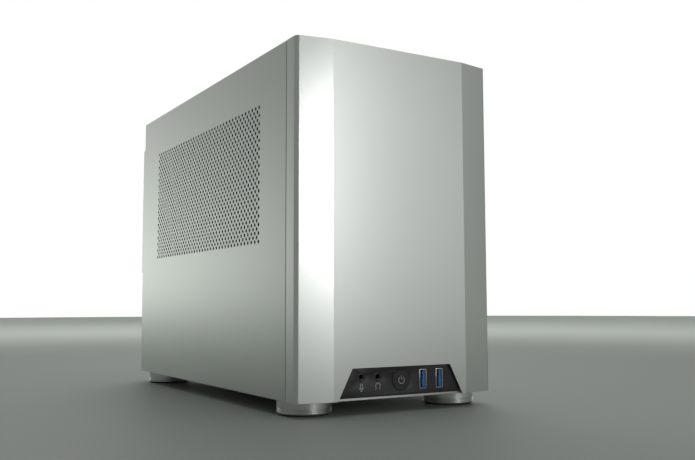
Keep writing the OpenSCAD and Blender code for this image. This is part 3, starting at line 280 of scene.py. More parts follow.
def grained_finish(name, colour, worn, metallic, roughness, grain_scale, depth, cloud_scale=14.0,
                   rough_swing=0.05, tone_swing=0.04, wear_start=0.53, lines_along=None):
    """A finish with a fine grain, cloudy tone and roughness, and worn corners. lines_along gives how
    often the lines of a rolled sheet change along X, Y and Z, and then they make the grain."""
    material, tree, shader = new_material(name)
    shader.inputs["Metallic"].default_value = metallic
    texture = add_node(tree, "ShaderNodeGroup", node_tree=grain)
    texture.inputs["Grain Scale"].default_value = grain_scale
    texture.inputs["Cloud Scale"].default_value = cloud_scale
    rub = add_node(tree, "ShaderNodeGroup", node_tree=wear)
    rub.inputs["Start"].default_value = wear_start
    relief, shade = texture.outputs["Height"], texture.outputs["Cloud"]
    if lines_along:
        brushed = add_node(tree, "ShaderNodeGroup", node_tree=rolled)
        for axis, often in zip("XYZ", lines_along):
            brushed.inputs["Along " + axis].default_value = often
        relief = brushed.outputs["Line"]
        shade = math_node(tree, "MULTIPLY_ADD", relief, 0.5, math_node(tree, "MULTIPLY", shade, 0.5))
    tone = add_node(tree, "ShaderNodeMix", data_type="RGBA")
    tone.inputs["A"].default_value = [c * (1 - tone_swing) for c in colour] + [1]
    tone.inputs["B"].default_value = [min(1, c * (1 + tone_swing)) for c in colour] + [1]
    shown = add_node(tree, "ShaderNodeMix", data_type="RGBA")
    shown.inputs["B"].default_value = (*worn, 1)
    tree.links.new(shade, tone.inputs["Factor"])
    tree.links.new(tone.outputs["Result"], shown.inputs["A"])
    tree.links.new(rub.outputs["Mask"], shown.inputs["Factor"])
    tree.links.new(shown.outputs["Result"], shader.inputs["Base Color"])
    swing = math_node(tree, "MULTIPLY_ADD", shade, rough_swing, roughness - rough_swing / 2)
    tree.links.new(swing, shader.inputs["Roughness"])
    bump = add_node(tree, "ShaderNodeBump", Strength=1.0, Distance=depth)
    tree.links.new(relief, bump.inputs["Height"])
    tree.links.new(bump.outputs["Normal"], shader.inputs["Normal"])
    return material


def dress(node, material, edge, flat=False):
    """Gives a machine-made piece its finish and breaks its sharp edges by that much. A flat piece
    splits its shading at its sharpest edges; the others weigh it by the size of each face."""
    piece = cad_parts[node]
    for i in range(len(piece.data.materials)):
        piece.data.materials[i] = material
    if not piece.data.materials:
        piece.data.materials.append(material)
    piece.data.shade_smooth()
    join = piece.modifiers.new("join_faces", "WELD")
    join.merge_threshold = 0.002 * mm
    ease = piece.modifiers.new("break_edges", "BEVEL")
    ease.width = edge
    ease.segments = 2
    ease.limit_method = "ANGLE"
    ease.angle_limit = math.radians(34)
    if flat:
        part = piece.modifiers.new("split_sharp_edges", "EDGE_SPLIT")
        part.split_angle = math.radians(26)
    else:
        level = piece.modifiers.new("level_faces", "WEIGHTED_NORMAL")
        level.weight = 100
        level.mode = "FACE_AREA"
    return piece


chassis = grained_finish("rolled_chassis_aluminium", chassis_colour, (0.72, 0.73, 0.725), 1.0, 0.38,
                         3000, 0.006 * mm, lines_along=(900, 12, 900))
for node in ("bottom_plate", "front_wall", "frame_rails", "mainboard_tray", "fan_rails"):
    dress(node, chassis, sheet_edge, flat=True)


def finish_piece(name, build, material, body, stands_for=()):
    """Turns a build into a named piece that rides on that body."""
    mesh = bpy.data.meshes.new(name)
    build.to_mesh(mesh)
    build.free()
    mesh.shade_smooth()
    mesh.set_sharp_from_angle(angle=math.radians(35))
    mesh.materials.append(material)
    made = new_object(name, mesh)
    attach(made, body)
    if stands_for:
        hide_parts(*stands_for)
    return made


def circle_of(diameter, middle, sides=20):
    """A hole's outline about a middle, in mm."""
    turns = [math.tau * k / sides for k in range(sides)]
    return [(middle[0] + diameter / 2 * math.cos(turn), middle[1] + diameter / 2 * math.sin(turn))
            for turn in turns]


def slot_of(left, right, low, high):
    """A four-cornered outline between those edges, in mm."""
    return [(left, low), (right, low), (right, high), (left, high)]


def cut_sheet(name, outline, holes, thickness, place, ease, material, body, node):
    """A flat sheet cut to that outline and those holes, in mm, with its edges eased, in place of a
    CAD sheet. place carries its middle plane to where it stands."""
    data = bpy.data.curves.new(name, "CURVE")
    data.dimensions = "2D"
    data.fill_mode = "BOTH"
    data.extrude = (thickness / 2 - ease) * mm
    data.bevel_depth = ease * mm
    data.bevel_resolution = 1
    data.offset = -ease * mm
    for loop in [outline] + holes:
        line = data.splines.new("POLY")
        line.points.add(len(loop) - 1)
        for spot, point in zip(line.points, loop):
            spot.co = (point[0] * mm, point[1] * mm, 0, 1)
        line.use_cyclic_u = True
    drawn = new_object(name + "_drawn", data)
    bpy.context.view_layer.update()
    sheet = bpy.data.meshes.new_from_object(drawn.evaluated_get(bpy.context.evaluated_depsgraph_get()))
    bpy.data.objects.remove(drawn)
    build = bmesh.new()
    build.from_mesh(sheet)
    bpy.data.meshes.remove(sheet)
    bmesh.ops.remove_doubles(build, verts=build.verts, dist=0.001 * mm)
    bmesh.ops.transform(build, matrix=place, verts=build.verts)
    bmesh.ops.recalc_face_normals(build, faces=build.faces)
    made = finish_piece(name, build, material, body, (node,))
    made.data.set_sharp_from_angle(angle=math.radians(12))
    return made


hole_d = 2.6
hole_pitch = 6.0
rear_fan_middle = (-30.5, 165.0)
fan_screw_reach = 41.25
inlet_middle = (-25.0, 229.0)
inlet_half = (13.7, 10.0)
slot_heights = (70.6, 50.28, 29.96)
fan_guard_reach = 42.7
plate_low, plate_high = (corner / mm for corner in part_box("rear_plate"))
holes = [slot_of(19.9, 64.1, 85.5, 246)]
holes += [slot_of(-53.1, 57.9, z - 7, z + 7) for z in slot_heights]
holes += [circle_of(3.9, (-60.1, z)) for z in slot_heights]
holes += [circle_of(3.3, (inlet_middle[0] + side * 20, inlet_middle[1])) for side in (-1, 1)]
holes += [slot_of(inlet_middle[0] - inlet_half[0], inlet_middle[0] + inlet_half[0],
                  inlet_middle[1] - inlet_half[1], inlet_middle[1] + inlet_half[1])]
for across in (-1, 1):
    for up in (-1, 1):
        holes.append(circle_of(4.3, (rear_fan_middle[0] + across * fan_screw_reach,
                                     rear_fan_middle[1] + up * fan_screw_reach)))
for half in (0, 0.5):
    for i in range(-8, 9):
        for j in range(-8, 9):
            spot = Vector((i + half, j + half)) * hole_pitch
            if spot.length < fan_guard_reach:
                holes.append(circle_of(hole_d, (rear_fan_middle[0] + spot.x, rear_fan_middle[1] + spot.y)))
from_behind = Matrix(((1, 0, 0, 0), (0, 0, -1, (plate_low.y + plate_high.y) / 2 * mm), (0, 1, 0, 0),
                      (0, 0, 0, 1)))
cut_sheet("rear_plate_sheet", slot_of(plate_low.x, plate_high.x, plate_low.z, plate_high.z), holes,
          plate_high.y - plate_low.y, from_behind, 0.2, chassis, "case",
          "rear_plate")


# ---- Feet ---------------------------------------------------------------------------------------
# Four low round feet turned from aluminium bar with three fine grooves round them, anodised like the
# covers. Each stands on a black rubber ring that is pressed into it.
foot_finish = grained_finish("turned_foot_aluminium", (0.62, 0.64, 0.625), (0.78, 0.79, 0.78), 1.0, 0.3,
                             5000, 0.003 * mm, lines_along=(60, 60, 4000))
dress("feet", foot_finish, 0.15 * mm)
foot_rubber = grained_finish("foot_rubber", (0.02, 0.02, 0.021), (0.06, 0.06, 0.06), 0.0, 0.78,
                             2500, 0.03 * mm)
dress("foot_pads", foot_rubber, 0.25 * mm)


# ---- Snap sockets and ball studs ----------------------------------------------------------------
# Sixteen black nylon sockets pressed into the chassis, and the turned aluminium ball studs, four on
# each cover, that click into them.
nylon = grained_finish("socket_nylon", (0.03, 0.031, 0.033), (0.09, 0.09, 0.095), 0.0, 0.5,
                       1800, 0.02 * mm)
dress("snap_sockets", nylon, 0.12 * mm)
turned = grained_finish("turned_stud_aluminium", (0.72, 0.73, 0.72), (0.85, 0.85, 0.84), 1.0, 0.22,
                        4000, 0.002 * mm)
for node in ("front_panel_studs", "left_panel_studs", "right_panel_studs", "top_panel_studs"):
    dress(node, turned, 0.08 * mm)


# ---- Mainboard ----------------------------------------------------------------------------------
# A small square circuit board with black solder mask over copper tracks, and the chips, coils and
# capacitors soldered to it. Rows of tiny chip resistors fill the space between them.
board_low, board_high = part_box("mainboard")
solder_mask = (0.008, 0.013, 0.012)
track_tone = (0.02, 0.032, 0.029)
pad_gold = (0.62, 0.47, 0.2)


def box_at(build, low, high, ease=0.0):
    """A block between two corners, its edges rounded off by that much."""
    size = Vector(high) - Vector(low)
    middle = (Vector(high) + Vector(low)) / 2
    made = bmesh.ops.create_cube(build, size=1.0)
    bmesh.ops.scale(build, vec=size, verts=made["verts"])
    bmesh.ops.translate(build, vec=middle, verts=made["verts"])
    if ease:
        edges = list({e for v in made["verts"] for e in v.link_edges})
        bmesh.ops.bevel(build, geom=edges, offset=ease, segments=2, affect="EDGES", profile=0.5)


# Tracks and plated holes of a circuit board, on coordinates scaled to about one track
tracks, enter, leave = surface_group("board_tracks", [("Scale", 900.0)], ["Track", "Pad", "Height"])
place = add_node(tracks, "ShaderNodeTexCoord")
apart = add_node(tracks, "ShaderNodeSeparateXYZ")
blocks = add_node(tracks, "ShaderNodeTexVoronoi", distance="CHEBYCHEV", Scale=55.0)
tone = add_node(tracks, "ShaderNodeSeparateColor")
tracks.links.new(place.outputs["Object"], apart.inputs["Vector"])
tracks.links.new(place.outputs["Object"], blocks.inputs["Vector"])
tracks.links.new(blocks.outputs["Color"], tone.inputs["Color"])
upright = math_node(tracks, "GREATER_THAN", tone.outputs["Red"], 0.5)
across = math_node(tracks, "ADD", apart.outputs["X"], apart.outputs["Z"])
run = add_node(tracks, "ShaderNodeMix", data_type="FLOAT")
tracks.links.new(upright, run.inputs["Factor"])
tracks.links.new(across, run.inputs["A"])
tracks.links.new(apart.outputs["Y"], run.inputs["B"])
lanes = math_node(tracks, "MULTIPLY", run.outputs["Result"], enter.outputs["Scale"])
lane = math_node(tracks, "PINGPONG", lanes, 1.0)
track = math_node(tracks, "GREATER_THAN", lane, 0.55)
dots = add_node(tracks, "ShaderNodeTexVoronoi", Scale=260.0, Randomness=0.8)
tracks.links.new(place.outputs["Object"], dots.inputs["Vector"])
pad = math_node(tracks, "LESS_THAN", dots.outputs["Distance"], 0.16)
tracks.links.new(track, leave.inputs["Track"])
tracks.links.new(pad, leave.inputs["Pad"])
tracks.links.new(math_node(tracks, "MULTIPLY", track, 0.5), leave.inputs["Height"])


def board_finish(name, mask_colour, track_colour):
    """Solder mask with raised tracks under it and gold-plated holes through it."""
    material, tree, shader = new_material(name)
    layout = add_node(tree, "ShaderNodeGroup", node_tree=tracks)
    cover = add_node(tree, "ShaderNodeMix", data_type="RGBA")
    cover.inputs["A"].default_value = (*mask_colour, 1)
    cover.inputs["B"].default_value = (*track_colour, 1)
    plated = add_node(tree, "ShaderNodeMix", data_type="RGBA")
    plated.inputs["B"].default_value = (*pad_gold, 1)
    bump = add_node(tree, "ShaderNodeBump", Strength=1.0, Distance=0.03 * mm)
    tree.links.new(layout.outputs["Track"], cover.inputs["Factor"])
    tree.links.new(cover.outputs["Result"], plated.inputs["A"])
    tree.links.new(layout.outputs["Pad"], plated.inputs["Factor"])
    tree.links.new(plated.outputs["Result"], shader.inputs["Base Color"])
    tree.links.new(layout.outputs["Pad"], shader.inputs["Metallic"])
    tree.links.new(math_node(tree, "MULTIPLY_ADD", layout.outputs["Track"], -0.08, 0.38),
                   shader.inputs["Roughness"])
    tree.links.new(layout.outputs["Height"], bump.inputs["Height"])
    tree.links.new(bump.outputs["Normal"], shader.inputs["Normal"])
    return material


board_mask = board_finish("black_solder_mask", solder_mask, track_tone)
dress("mainboard", board_mask, 0.1 * mm, flat=True)
dress("port_board", board_mask, 0.1 * mm, flat=True)
component = grained_finish("moulded_component", (0.022, 0.022, 0.024), (0.07, 0.07, 0.072), 0.0, 0.42,
                           3500, 0.012 * mm, cloud_scale=60, tone_swing=0.25)
dress("board_components", component, 0.15 * mm, flat=True)

random.seed(7)
chip_rows = 26
chips_in_row = 9
chip_size = Vector((0.6, 1.7, 0.9)) * mm
build = bmesh.new()
for row in range(chip_rows):
    start = Vector((board_low.x, random.uniform(board_low.y + 0.012, board_high.y - 0.04),
                    random.uniform(board_low.z + 0.012, board_high.z - 0.02)))
    along = Vector((0, 0, 2.2 * mm)) if row % 2 else Vector((0, 2.9 * mm, 0))
    for k in range(random.randint(3, chips_in_row)):
        spot = start + along * k
        if spot.z > board_high.z - 4 * mm or spot.y > board_high.y - 4 * mm:
            continue
        box_at(build, spot - Vector((chip_size.x, 0, 0)), spot + Vector((0, chip_size.y, chip_size.z)),
               0.08 * mm)
ceramic = grained_finish("chip_ceramic", (0.24, 0.19, 0.13), (0.6, 0.6, 0.58), 0.0, 0.5, 3000,
                         0.01 * mm, cloud_scale=500, tone_swing=0.5)
finish_piece("board_chip_resistors", build, ceramic, "case")


# ---- Memory, sockets and board heat sinks -------------------------------------------------------
# Two memory sticks under folded grey heat spreaders stand in long black sockets, each held by a
# white nylon latch. Finned aluminium blocks cool the voltage regulators and the chipset.
spreader = grained_finish("brushed_heat_spreader", (0.16, 0.165, 0.17), (0.5, 0.5, 0.5), 0.9, 0.42,
                          3000, 0.008 * mm, lines_along=(700, 9, 700))
dress("memory_sticks", spreader, 0.2 * mm, flat=True)
latch_nylon = grained_finish("latch_nylon", (0.74, 0.74, 0.72), (0.82, 0.82, 0.8), 0.0, 0.45,
                             1800, 0.015 * mm)
for node in ("memory_latch_front", "memory_latch_rear"):
    dress(node, latch_nylon, 0.15 * mm)
socket_black = grained_finish("socket_moulding", (0.018, 0.018, 0.02), (0.06, 0.06, 0.065), 0.0, 0.48,
                              2600, 0.015 * mm)
dress("board_slots", socket_black, 0.12 * mm, flat=True)
sink_metal = grained_finish("extruded_heat_sink", (0.68, 0.69, 0.7), (0.8, 0.8, 0.8), 1.0, 0.34,
                            3000, 0.006 * mm, lines_along=(900, 900, 10))
dress("board_heatsinks", sink_metal, 0.12 * mm, flat=True)


# ---- Fan wheels ---------------------------------------------------------------------------------
# Each fan's wheel is one grey moulding: a cupped hub that covers the motor, and curved blades that
# flatten from root to tip. The wheels of the case, cooler, supply and card fans differ in size.
hub_wall = 1.5 * mm
hub_ease = 0.4 * mm
hub_round = 1.4 * mm
hub_roof = 2.2 * mm
blade_stations = 9
blade_points = 7
blade_thick = 1.1 * mm
root_pitch = math.radians(46)
tip_pitch = math.radians(27)
blade_sweep = math.radians(16)
blade_camber = 0.09


def lathe(build, outline, place, segments=64):
    """Turns (radius, height) points about the Z axis of that place; a radius of 0 closes an end."""
    rings = []
    for radius, up in outline:
        count = segments if radius else 1
        rings.append([build.verts.new(place @ Vector((radius * math.cos(math.tau * i / count),
                                                      radius * math.sin(math.tau * i / count), up)))
                      for i in range(count)])
    for lower, upper in zip(rings, rings[1:]):
        for i in range(segments):
            j = i + 1
            corners = [lower[i % len(lower)], lower[j % len(lower)],
                       upper[j % len(upper)], upper[i % len(upper)]]
            build.faces.new(list(dict.fromkeys(corners)))


def loft(build, loops):
    """Skins a row of closed loops of equally many points and closes both ends."""
    rings = [[build.verts.new(point) for point in loop] for loop in loops]
    for lower, upper in zip(rings, rings[1:]):
        for i in range(len(lower)):
            j = (i + 1) % len(lower)
            build.faces.new([lower[i], lower[j], upper[j], upper[i]])
    build.faces.new(rings[0][::-1])
    build.faces.new(rings[-1])


def blade_loop(radius, pitch, chord, sweep, place):
    """One section of a blade: a thin cambered wing wrapped round the axis at that radius."""
    top, under = [], []
    for k in range(blade_points):
        share = k / (blade_points - 1)
        along = (share - 0.5) * chord
        rise = blade_camber * chord * (1 - (2 * share - 1) ** 2)
        half = blade_thick / 2 * math.sqrt(max(0.08, 1 - (2 * share - 1) ** 2))
        for side, points in ((1, top), (-1, under)):
            out = rise + side * half
            arc = along * math.cos(pitch) - out * math.sin(pitch)
            up = along * math.sin(pitch) + out * math.cos(pitch)
            turn = sweep + arc / radius
            points.append(place @ Vector((radius * math.cos(turn), radius * math.sin(turn), up)))
    return top + under[::-1]


def fan_wheel(node, body, hub_d, blades, front, material):
    """A wheel in place of a CAD rotor. front is the way the closed end of its hub looks."""
    low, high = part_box(node)
    spans = high - low
    axis = min(range(3), key=lambda i: spans[i])
    depth, radius = spans[axis], max(spans) / 2
    facing = Vector(front).to_track_quat("Z", "Y").to_matrix().to_4x4()
    place = Matrix.Translation((low + high) / 2) @ facing
    hub_r, half = hub_d * mm / 2, depth / 2
    build = bmesh.new()
    lathe(build, [(0, half - hub_ease), (hub_r * 0.62, half - hub_ease), (hub_r * 0.66, half),
                  (hub_r - hub_round, half), (hub_r - hub_ease, half - hub_ease),
                  (hub_r, half - hub_round), (hub_r, -half), (hub_r - hub_wall, -half),
                  (hub_r - hub_wall, half - hub_roof), (0, half - hub_roof)], place)
    swing = (depth - 2.6 * mm) * 0.86
    for k in range(blades):
        loops = []
        for step in range(blade_stations):
            share = step / (blade_stations - 1)
            at = hub_r - hub_ease + share * (radius - hub_r + 0.3 * mm)
            pitch = root_pitch + (tip_pitch - root_pitch) * share
            chord = swing / math.sin(pitch)
            loops.append(blade_loop(at, pitch, chord, math.tau * k / blades + blade_sweep * share ** 1.5,
                                    place))
        loft(build, loops)
    bmesh.ops.recalc_face_normals(build, faces=build.faces)
    return finish_piece(node + "_wheel", build, material, body, (node,))


wheel_grey = grained_finish("moulded_fan_wheel", (0.055, 0.056, 0.058), (0.13, 0.13, 0.13), 0.0, 0.36,
                            1500, 0.012 * mm)
frame_black = grained_finish("moulded_fan_frame", (0.02, 0.02, 0.021), (0.07, 0.07, 0.07), 0.0, 0.46,
                             1500, 0.02 * mm)
fan_wheel("side_fan_front_rotor", "side_fan_front_wheel", 40, 9, (-1, 0, 0), wheel_grey)
fan_wheel("side_fan_rear_rotor", "side_fan_rear_wheel", 40, 9, (-1, 0, 0), wheel_grey)
fan_wheel("rear_fan_rotor", "rear_fan_wheel", 36, 9, (0, 1, 0), wheel_grey)
fan_wheel("cooler_fan_rotor", "cooler_fan_wheel", 36, 11, (-1, 0, 0), wheel_grey)
fan_wheel("psu_fan_rotor", "supply_fan_wheel", 36, 11, (1, 0, 0), wheel_grey)
fan_wheel("graphics_front_rotor", "card_fan_front_wheel", 28, 11, (0, 0, -1), wheel_grey)
fan_wheel("graphics_rear_rotor", "card_fan_rear_wheel", 28, 11, (0, 0, -1), wheel_grey)
for node in ("side_fan_frames", "rear_fan_frame", "psu_fan_frame", "cooler_fan_frame"):
    dress(node, frame_black, 0.3 * mm)


# ---- Processor cooler ---------------------------------------------------------------------------
# A copper base with four copper heat pipes that turn back through a stack of thin aluminium fins,
# with a slim fan over them.
plated_copper = grained_finish("plated_copper", (0.66, 0.5, 0.4), (0.75, 0.62, 0.5), 1.0, 0.24,
                               2500, 0.003 * mm, tone_swing=0.08)
dress("cooler_base", plated_copper, 0.2 * mm)
fin_metal = grained_finish("stamped_fins", (0.7, 0.71, 0.72), (0.8, 0.8, 0.8), 1.0, 0.3,
                           2500, 0.004 * mm, lines_along=(20, 900, 900))
dress("cooler_fins", fin_metal, 0.06 * mm, flat=True)


# ---- Solid-state drive --------------------------------------------------------------------------
# A flat closed metal case with no label, in front of the front wall and screwed on from behind it.
drive_metal = grained_finish("drive_case_metal", (0.1, 0.104, 0.112), (0.4, 0.4, 0.41), 0.8, 0.42,
                             2200, 0.012 * mm)
dress("solid_state_drive", drive_metal, 0.5 * mm)


# ---- Power supply -------------------------------------------------------------------------------
# A folded steel box and its side cover, both powder coated dark grey, with a ringed finger guard
# over the fan. Inside are its board, coils and sinks; at the front a rocker switch and an inlet.
powder = grained_finish("grey_powder_coat", (0.035, 0.036, 0.038), (0.12, 0.12, 0.12), 0.0, 0.55,
                        900, 0.06 * mm)
dress("psu_case", powder, 0.25 * mm, flat=True)
dress("psu_grille", powder, 0.2 * mm, flat=True)
supply_parts = grained_finish("supply_parts", (0.03, 0.032, 0.035), (0.12, 0.11, 0.09), 0.0, 0.45,
                              2200, 0.02 * mm, cloud_scale=45, tone_swing=0.5)
dress("psu_electronics", supply_parts, 0.15 * mm, flat=True)
rocker = grained_finish("rocker_switch", (0.42, 0.02, 0.018), (0.6, 0.1, 0.09), 0.0, 0.3,
                        1500, 0.008 * mm)
dress("psu_switch", rocker, 0.2 * mm)


# ---- Mains inlet and inner lead -----------------------------------------------------------------
# A moulded inlet screwed to the rear plate, and a black rubber lead that runs forward under the top
# to a moulded right-angle plug in the supply.
inlet_black = grained_finish("inlet_moulding", (0.02, 0.02, 0.021), (0.07, 0.07, 0.07), 0.0, 0.4,
                             1600, 0.02 * mm)
dress("mains_inlet", inlet_black, 0.25 * mm)
dress("mains_plug", inlet_black, 0.6 * mm)
lead_d = 6.5 * mm
lead_bend = 8 * mm
lead_stops = [(-25, 128, 229), (-25, 104, 229), (-25, 84, 235), (-25, -154, 235), (-1, -154, 235),
              (5, -154, 200), (14, -154, 200)]
lead_rubber = grained_finish("lead_rubber", (0.014, 0.014, 0.015), (0.05, 0.05, 0.05), 0.0, 0.6,
                             1400, 0.02 * mm)


def rounded_path(stops, radius, steps=9):
    """Points along straight runs between the stops, with a round bend at each stop between."""
    stops = [Vector(stop) for stop in stops]
    points = [stops[0]]
    for before, corner, after in zip(stops, stops[1:], stops[2:]):
        into, out = (corner - before).normalized(), (after - corner).normalized()
        turn = into.angle(out)
        if turn < 0.02:
            points.append(corner)
            continue
        reach = min(radius * math.tan(turn / 2), (corner - before).length * 0.49,
                    (after - corner).length * 0.49)
        first, last = corner - into * reach, corner + out * reach
        for k in range(steps + 1):
            share = k / steps
            points.append((1 - share) ** 2 * first + 2 * share * (1 - share) * corner
                          + share ** 2 * last)
    points.append(stops[-1])
    return points


def wires(name, paths, diameter, material, stands_for=()):
    """Round wires along those paths as one piece that rides on the case."""
    data = bpy.data.curves.new(name, "CURVE")
    data.dimensions = "3D"
    data.bevel_depth = diameter / 2
    data.bevel_resolution = 3
    data.use_fill_caps = True
    for points in paths:
        line = data.splines.new("POLY")
        line.points.add(len(points) - 1)
        for spot, point in zip(line.points, points):
            spot.co = (*point, 1)
        line.use_smooth = True
    data.materials.append(material)
    made = new_object(name, data)
    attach(made, "case")
    if stands_for:
        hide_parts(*stands_for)
    return made


lead_path = rounded_path([Vector(stop) * mm for stop in lead_stops], lead_bend)
wires("mains_lead_rubber", [lead_path], lead_d, lead_rubber, ("mains_lead",))


# ---- Power cables -------------------------------------------------------------------------------
# Braided black wires with no plugs: twenty-four go in a flat double row from the supply to the
# mainboard, and six go in a round bundle from the supply to the graphics card.
sleeve = grained_finish("braided_sleeve", (0.012, 0.012, 0.013), (0.05, 0.05, 0.05), 0.0, 0.7,
                        2600, 0.12 * mm, cloud_scale=400, tone_swing=0.5)
wire_d = 3.3 * mm
wire_pitch = 3.9 * mm
wires_in_row = 12
ribbon_middle = 196 * mm
ribbon_start, ribbon_turn = Vector((32.5, -44.5)) * mm, Vector((32.5, -7)) * mm
ribbon_end = Vector((49.9, -7)) * mm
ribbon_bend = 9 * mm
row_gap = 1.75 * mm
paths = []
for row in (-1, 1):
    out = row * row_gap
    for k in range(wires_in_row):
        up = ribbon_middle + (k - (wires_in_row - 1) / 2) * wire_pitch
        paths.append(rounded_path([(ribbon_start.x + out, ribbon_start.y, up),
                                   (ribbon_turn.x + out, ribbon_turn.y - out, up),
                                   (ribbon_end.x, ribbon_end.y - out, up)],
                                  ribbon_bend + out))
card_stops = [(29, -44.5, 123), (29, -30.5, 123), (-30.1, -30.5, 119), (-30.1, -30, 98),
              (-60.1, -30, 98), (-60.1, -30, 84.4), (-50.1, -30, 84.4)]
bundle_r = 2.5 * mm
bundle_wire_d = 2.6 * mm
bundle_wires = 6
bundle_bend = 5 * mm
card_line = rounded_path([Vector(stop) * mm for stop in card_stops], bundle_bend)
wires("board_power_wires", paths, wire_d, sleeve, ("power_cables",))


def bundle_paths(line, radius, count):
    """Lines side by side round a middle line, kept level so that they don't twist."""
    made = []
    for k in range(count):
        turn = math.tau * k / count
        points = []
        for i, point in enumerate(line):
            before, after = line[max(0, i - 1)], line[min(len(line) - 1, i + 1)]
            way = (after - before).normalized()
            side = way.cross(Vector((0, 1, 0))) if abs(way.y) < 0.7 else way.cross(Vector((0, 0, 1)))
            side.normalize()
            across = way.cross(side).normalized()
            points.append(point + side * radius * math.cos(turn) + across * radius * math.sin(turn))
        made.append(points)
    return made


wires("card_power_wires", bundle_paths(card_line, bundle_r, bundle_wires), bundle_wire_d, sleeve)


# ---- Graphics card ------------------------------------------------------------------------------
# A short two-fan card: a black circuit board, a finned aluminium block, and a moulded shroud. Its
# plated steel bracket, and a blank cover under it, are screwed to the rear plate.
dress("graphics_board", board_mask, 0.12 * mm, flat=True)
dress("graphics_heatsink", sink_metal, 0.1 * mm, flat=True)
shroud_finish = grained_finish("moulded_shroud", (0.022, 0.022, 0.024), (0.08, 0.08, 0.08), 0.0, 0.4,
                               1300, 0.03 * mm)
dress("graphics_shroud", shroud_finish, 0.6 * mm)
bright_steel = grained_finish("plated_steel", (0.68, 0.68, 0.67), (0.8, 0.8, 0.79), 1.0, 0.28,
                              2500, 0.004 * mm, tone_swing=0.05)
dress("graphics_bracket", bright_steel, 0.12 * mm, flat=True)
dress("slot_cover", bright_steel, 0.12 * mm, flat=True)


# ---- Rear sockets -------------------------------------------------------------------------------
# The plated shells of the mainboard's rear sockets, and the thin stamped shield that fills the
# opening round them.
dress("rear_ports", bright_steel, 0.12 * mm, flat=True)
dress("io_shield", bright_steel, 0.1 * mm, flat=True)


# ---- Screws and spacers -------------------------------------------------------------------------
# Zinc-plated machine screws, board spacers and foot nuts, with turned heads.
screw_metal = grained_finish("zinc_plated_screws", (0.6, 0.61, 0.62), (0.78, 0.78, 0.78), 1.0, 0.3,
                             3000, 0.006 * mm, tone_swing=0.08)
dress("fixings", screw_metal, 0.2 * mm)


# ---- Front sockets and power button -------------------------------------------------------------
# A satin black plate fills the window in the front cover's lower edge. It holds two audio jacks, a
# round power button and two blue USB sockets, all on one small board; its symbols are printed grey.
bezel_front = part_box("port_bezel")[0].y
button_low, button_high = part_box("power_button")
jack_low, jack_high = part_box("front_audio_jacks")
usb_low, usb_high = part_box("front_usb_shells")
bezel_black = grained_finish("satin_black_bezel", (0.012, 0.0125, 0.0125), (0.04, 0.042, 0.042), 0.0,
                             0.42, 2600, 0.006 * mm)
button_black = grained_finish("satin_black_button", (0.011, 0.0115, 0.0115), (0.045, 0.047, 0.047),
                              0.0, 0.36, 2600, 0.005 * mm)
dress("port_bezel", bezel_black, 0.15 * mm, flat=True)
dress("power_button", button_black, 0.35 * mm)
dress("front_audio_jacks", socket_black, 0.12 * mm)
dress("front_usb_shells", bright_steel, 0.08 * mm, flat=True)
usb_blue = grained_finish("blue_tongue", (0.012, 0.13, 0.42), (0.05, 0.2, 0.5), 0.0, 0.34,
                          2600, 0.005 * mm)
dress("front_usb_tongues", usb_blue, 0.15 * mm)
print_grey = grained_finish("printed_symbol", (0.36, 0.37, 0.37), (0.4, 0.41, 0.41), 0.0, 0.6,
                            6000, 0.004 * mm, tone_swing=0.15)
contact_gold = grained_finish("gold_contact", (0.85, 0.62, 0.25), (0.9, 0.7, 0.35), 1.0, 0.22,
                              4000, 0.002 * mm)
print_thick = 0.04 * mm
line_w = 0.5 * mm


def stroke(build, points, middle, width, front):
    """A printed line along (x, z) points in mm about a middle, standing off the face at y = front."""
    spots = [Vector((middle[0] + x * mm, 0, middle[1] + z * mm)) for x, z in points]
    closed = (spots[0] - spots[-1]).length < 0.01 * mm
    if closed:
        spots = spots[:-1]
    rings = []
    for i, spot in enumerate(spots):
        before = spots[i - 1] if i or closed else spot
        after = spots[(i + 1) % len(spots)] if i + 1 < len(spots) or closed else spot
        way = (after - before).normalized()
        side = Vector((way.z, 0, -way.x)) * width / 2
        ring = []
        for off, y in ((side, front - print_thick), (-side, front - print_thick),
                       (-side, front + print_thick), (side, front + print_thick)):
            ring.append(build.verts.new((spot.x + off.x, y, spot.z + off.z)))
        rings.append(ring)
    pairs = list(zip(rings, rings[1:])) + ([(rings[-1], rings[0])] if closed else [])
    for near, far in pairs:
        for k in range(4):
            j = (k + 1) % 4
            build.faces.new([near[k], near[j], far[j], far[k]])
    if not closed:
        build.faces.new(rings[0])
        build.faces.new(rings[-1][::-1])


def arc(radius, first, last, steps=24, at=(0, 0)):
    """Points in mm of an arc between two angles in degrees, counted from +X towards +Z."""
    turns = [math.radians(first + (last - first) * k / steps) for k in range(steps + 1)]
    return [(at[0] + radius * math.cos(turn), at[1] + radius * math.sin(turn)) for turn in turns]


def printed(name, strokes, middle, front, body):
    """A symbol of printed lines on the face at y = front, as a piece that rides on that body."""
    build = bmesh.new()
    for points in strokes:
        stroke(build, points, middle, line_w, front)
    bmesh.ops.recalc_face_normals(build, faces=build.faces)
    return finish_piece(name, build, print_grey, body)


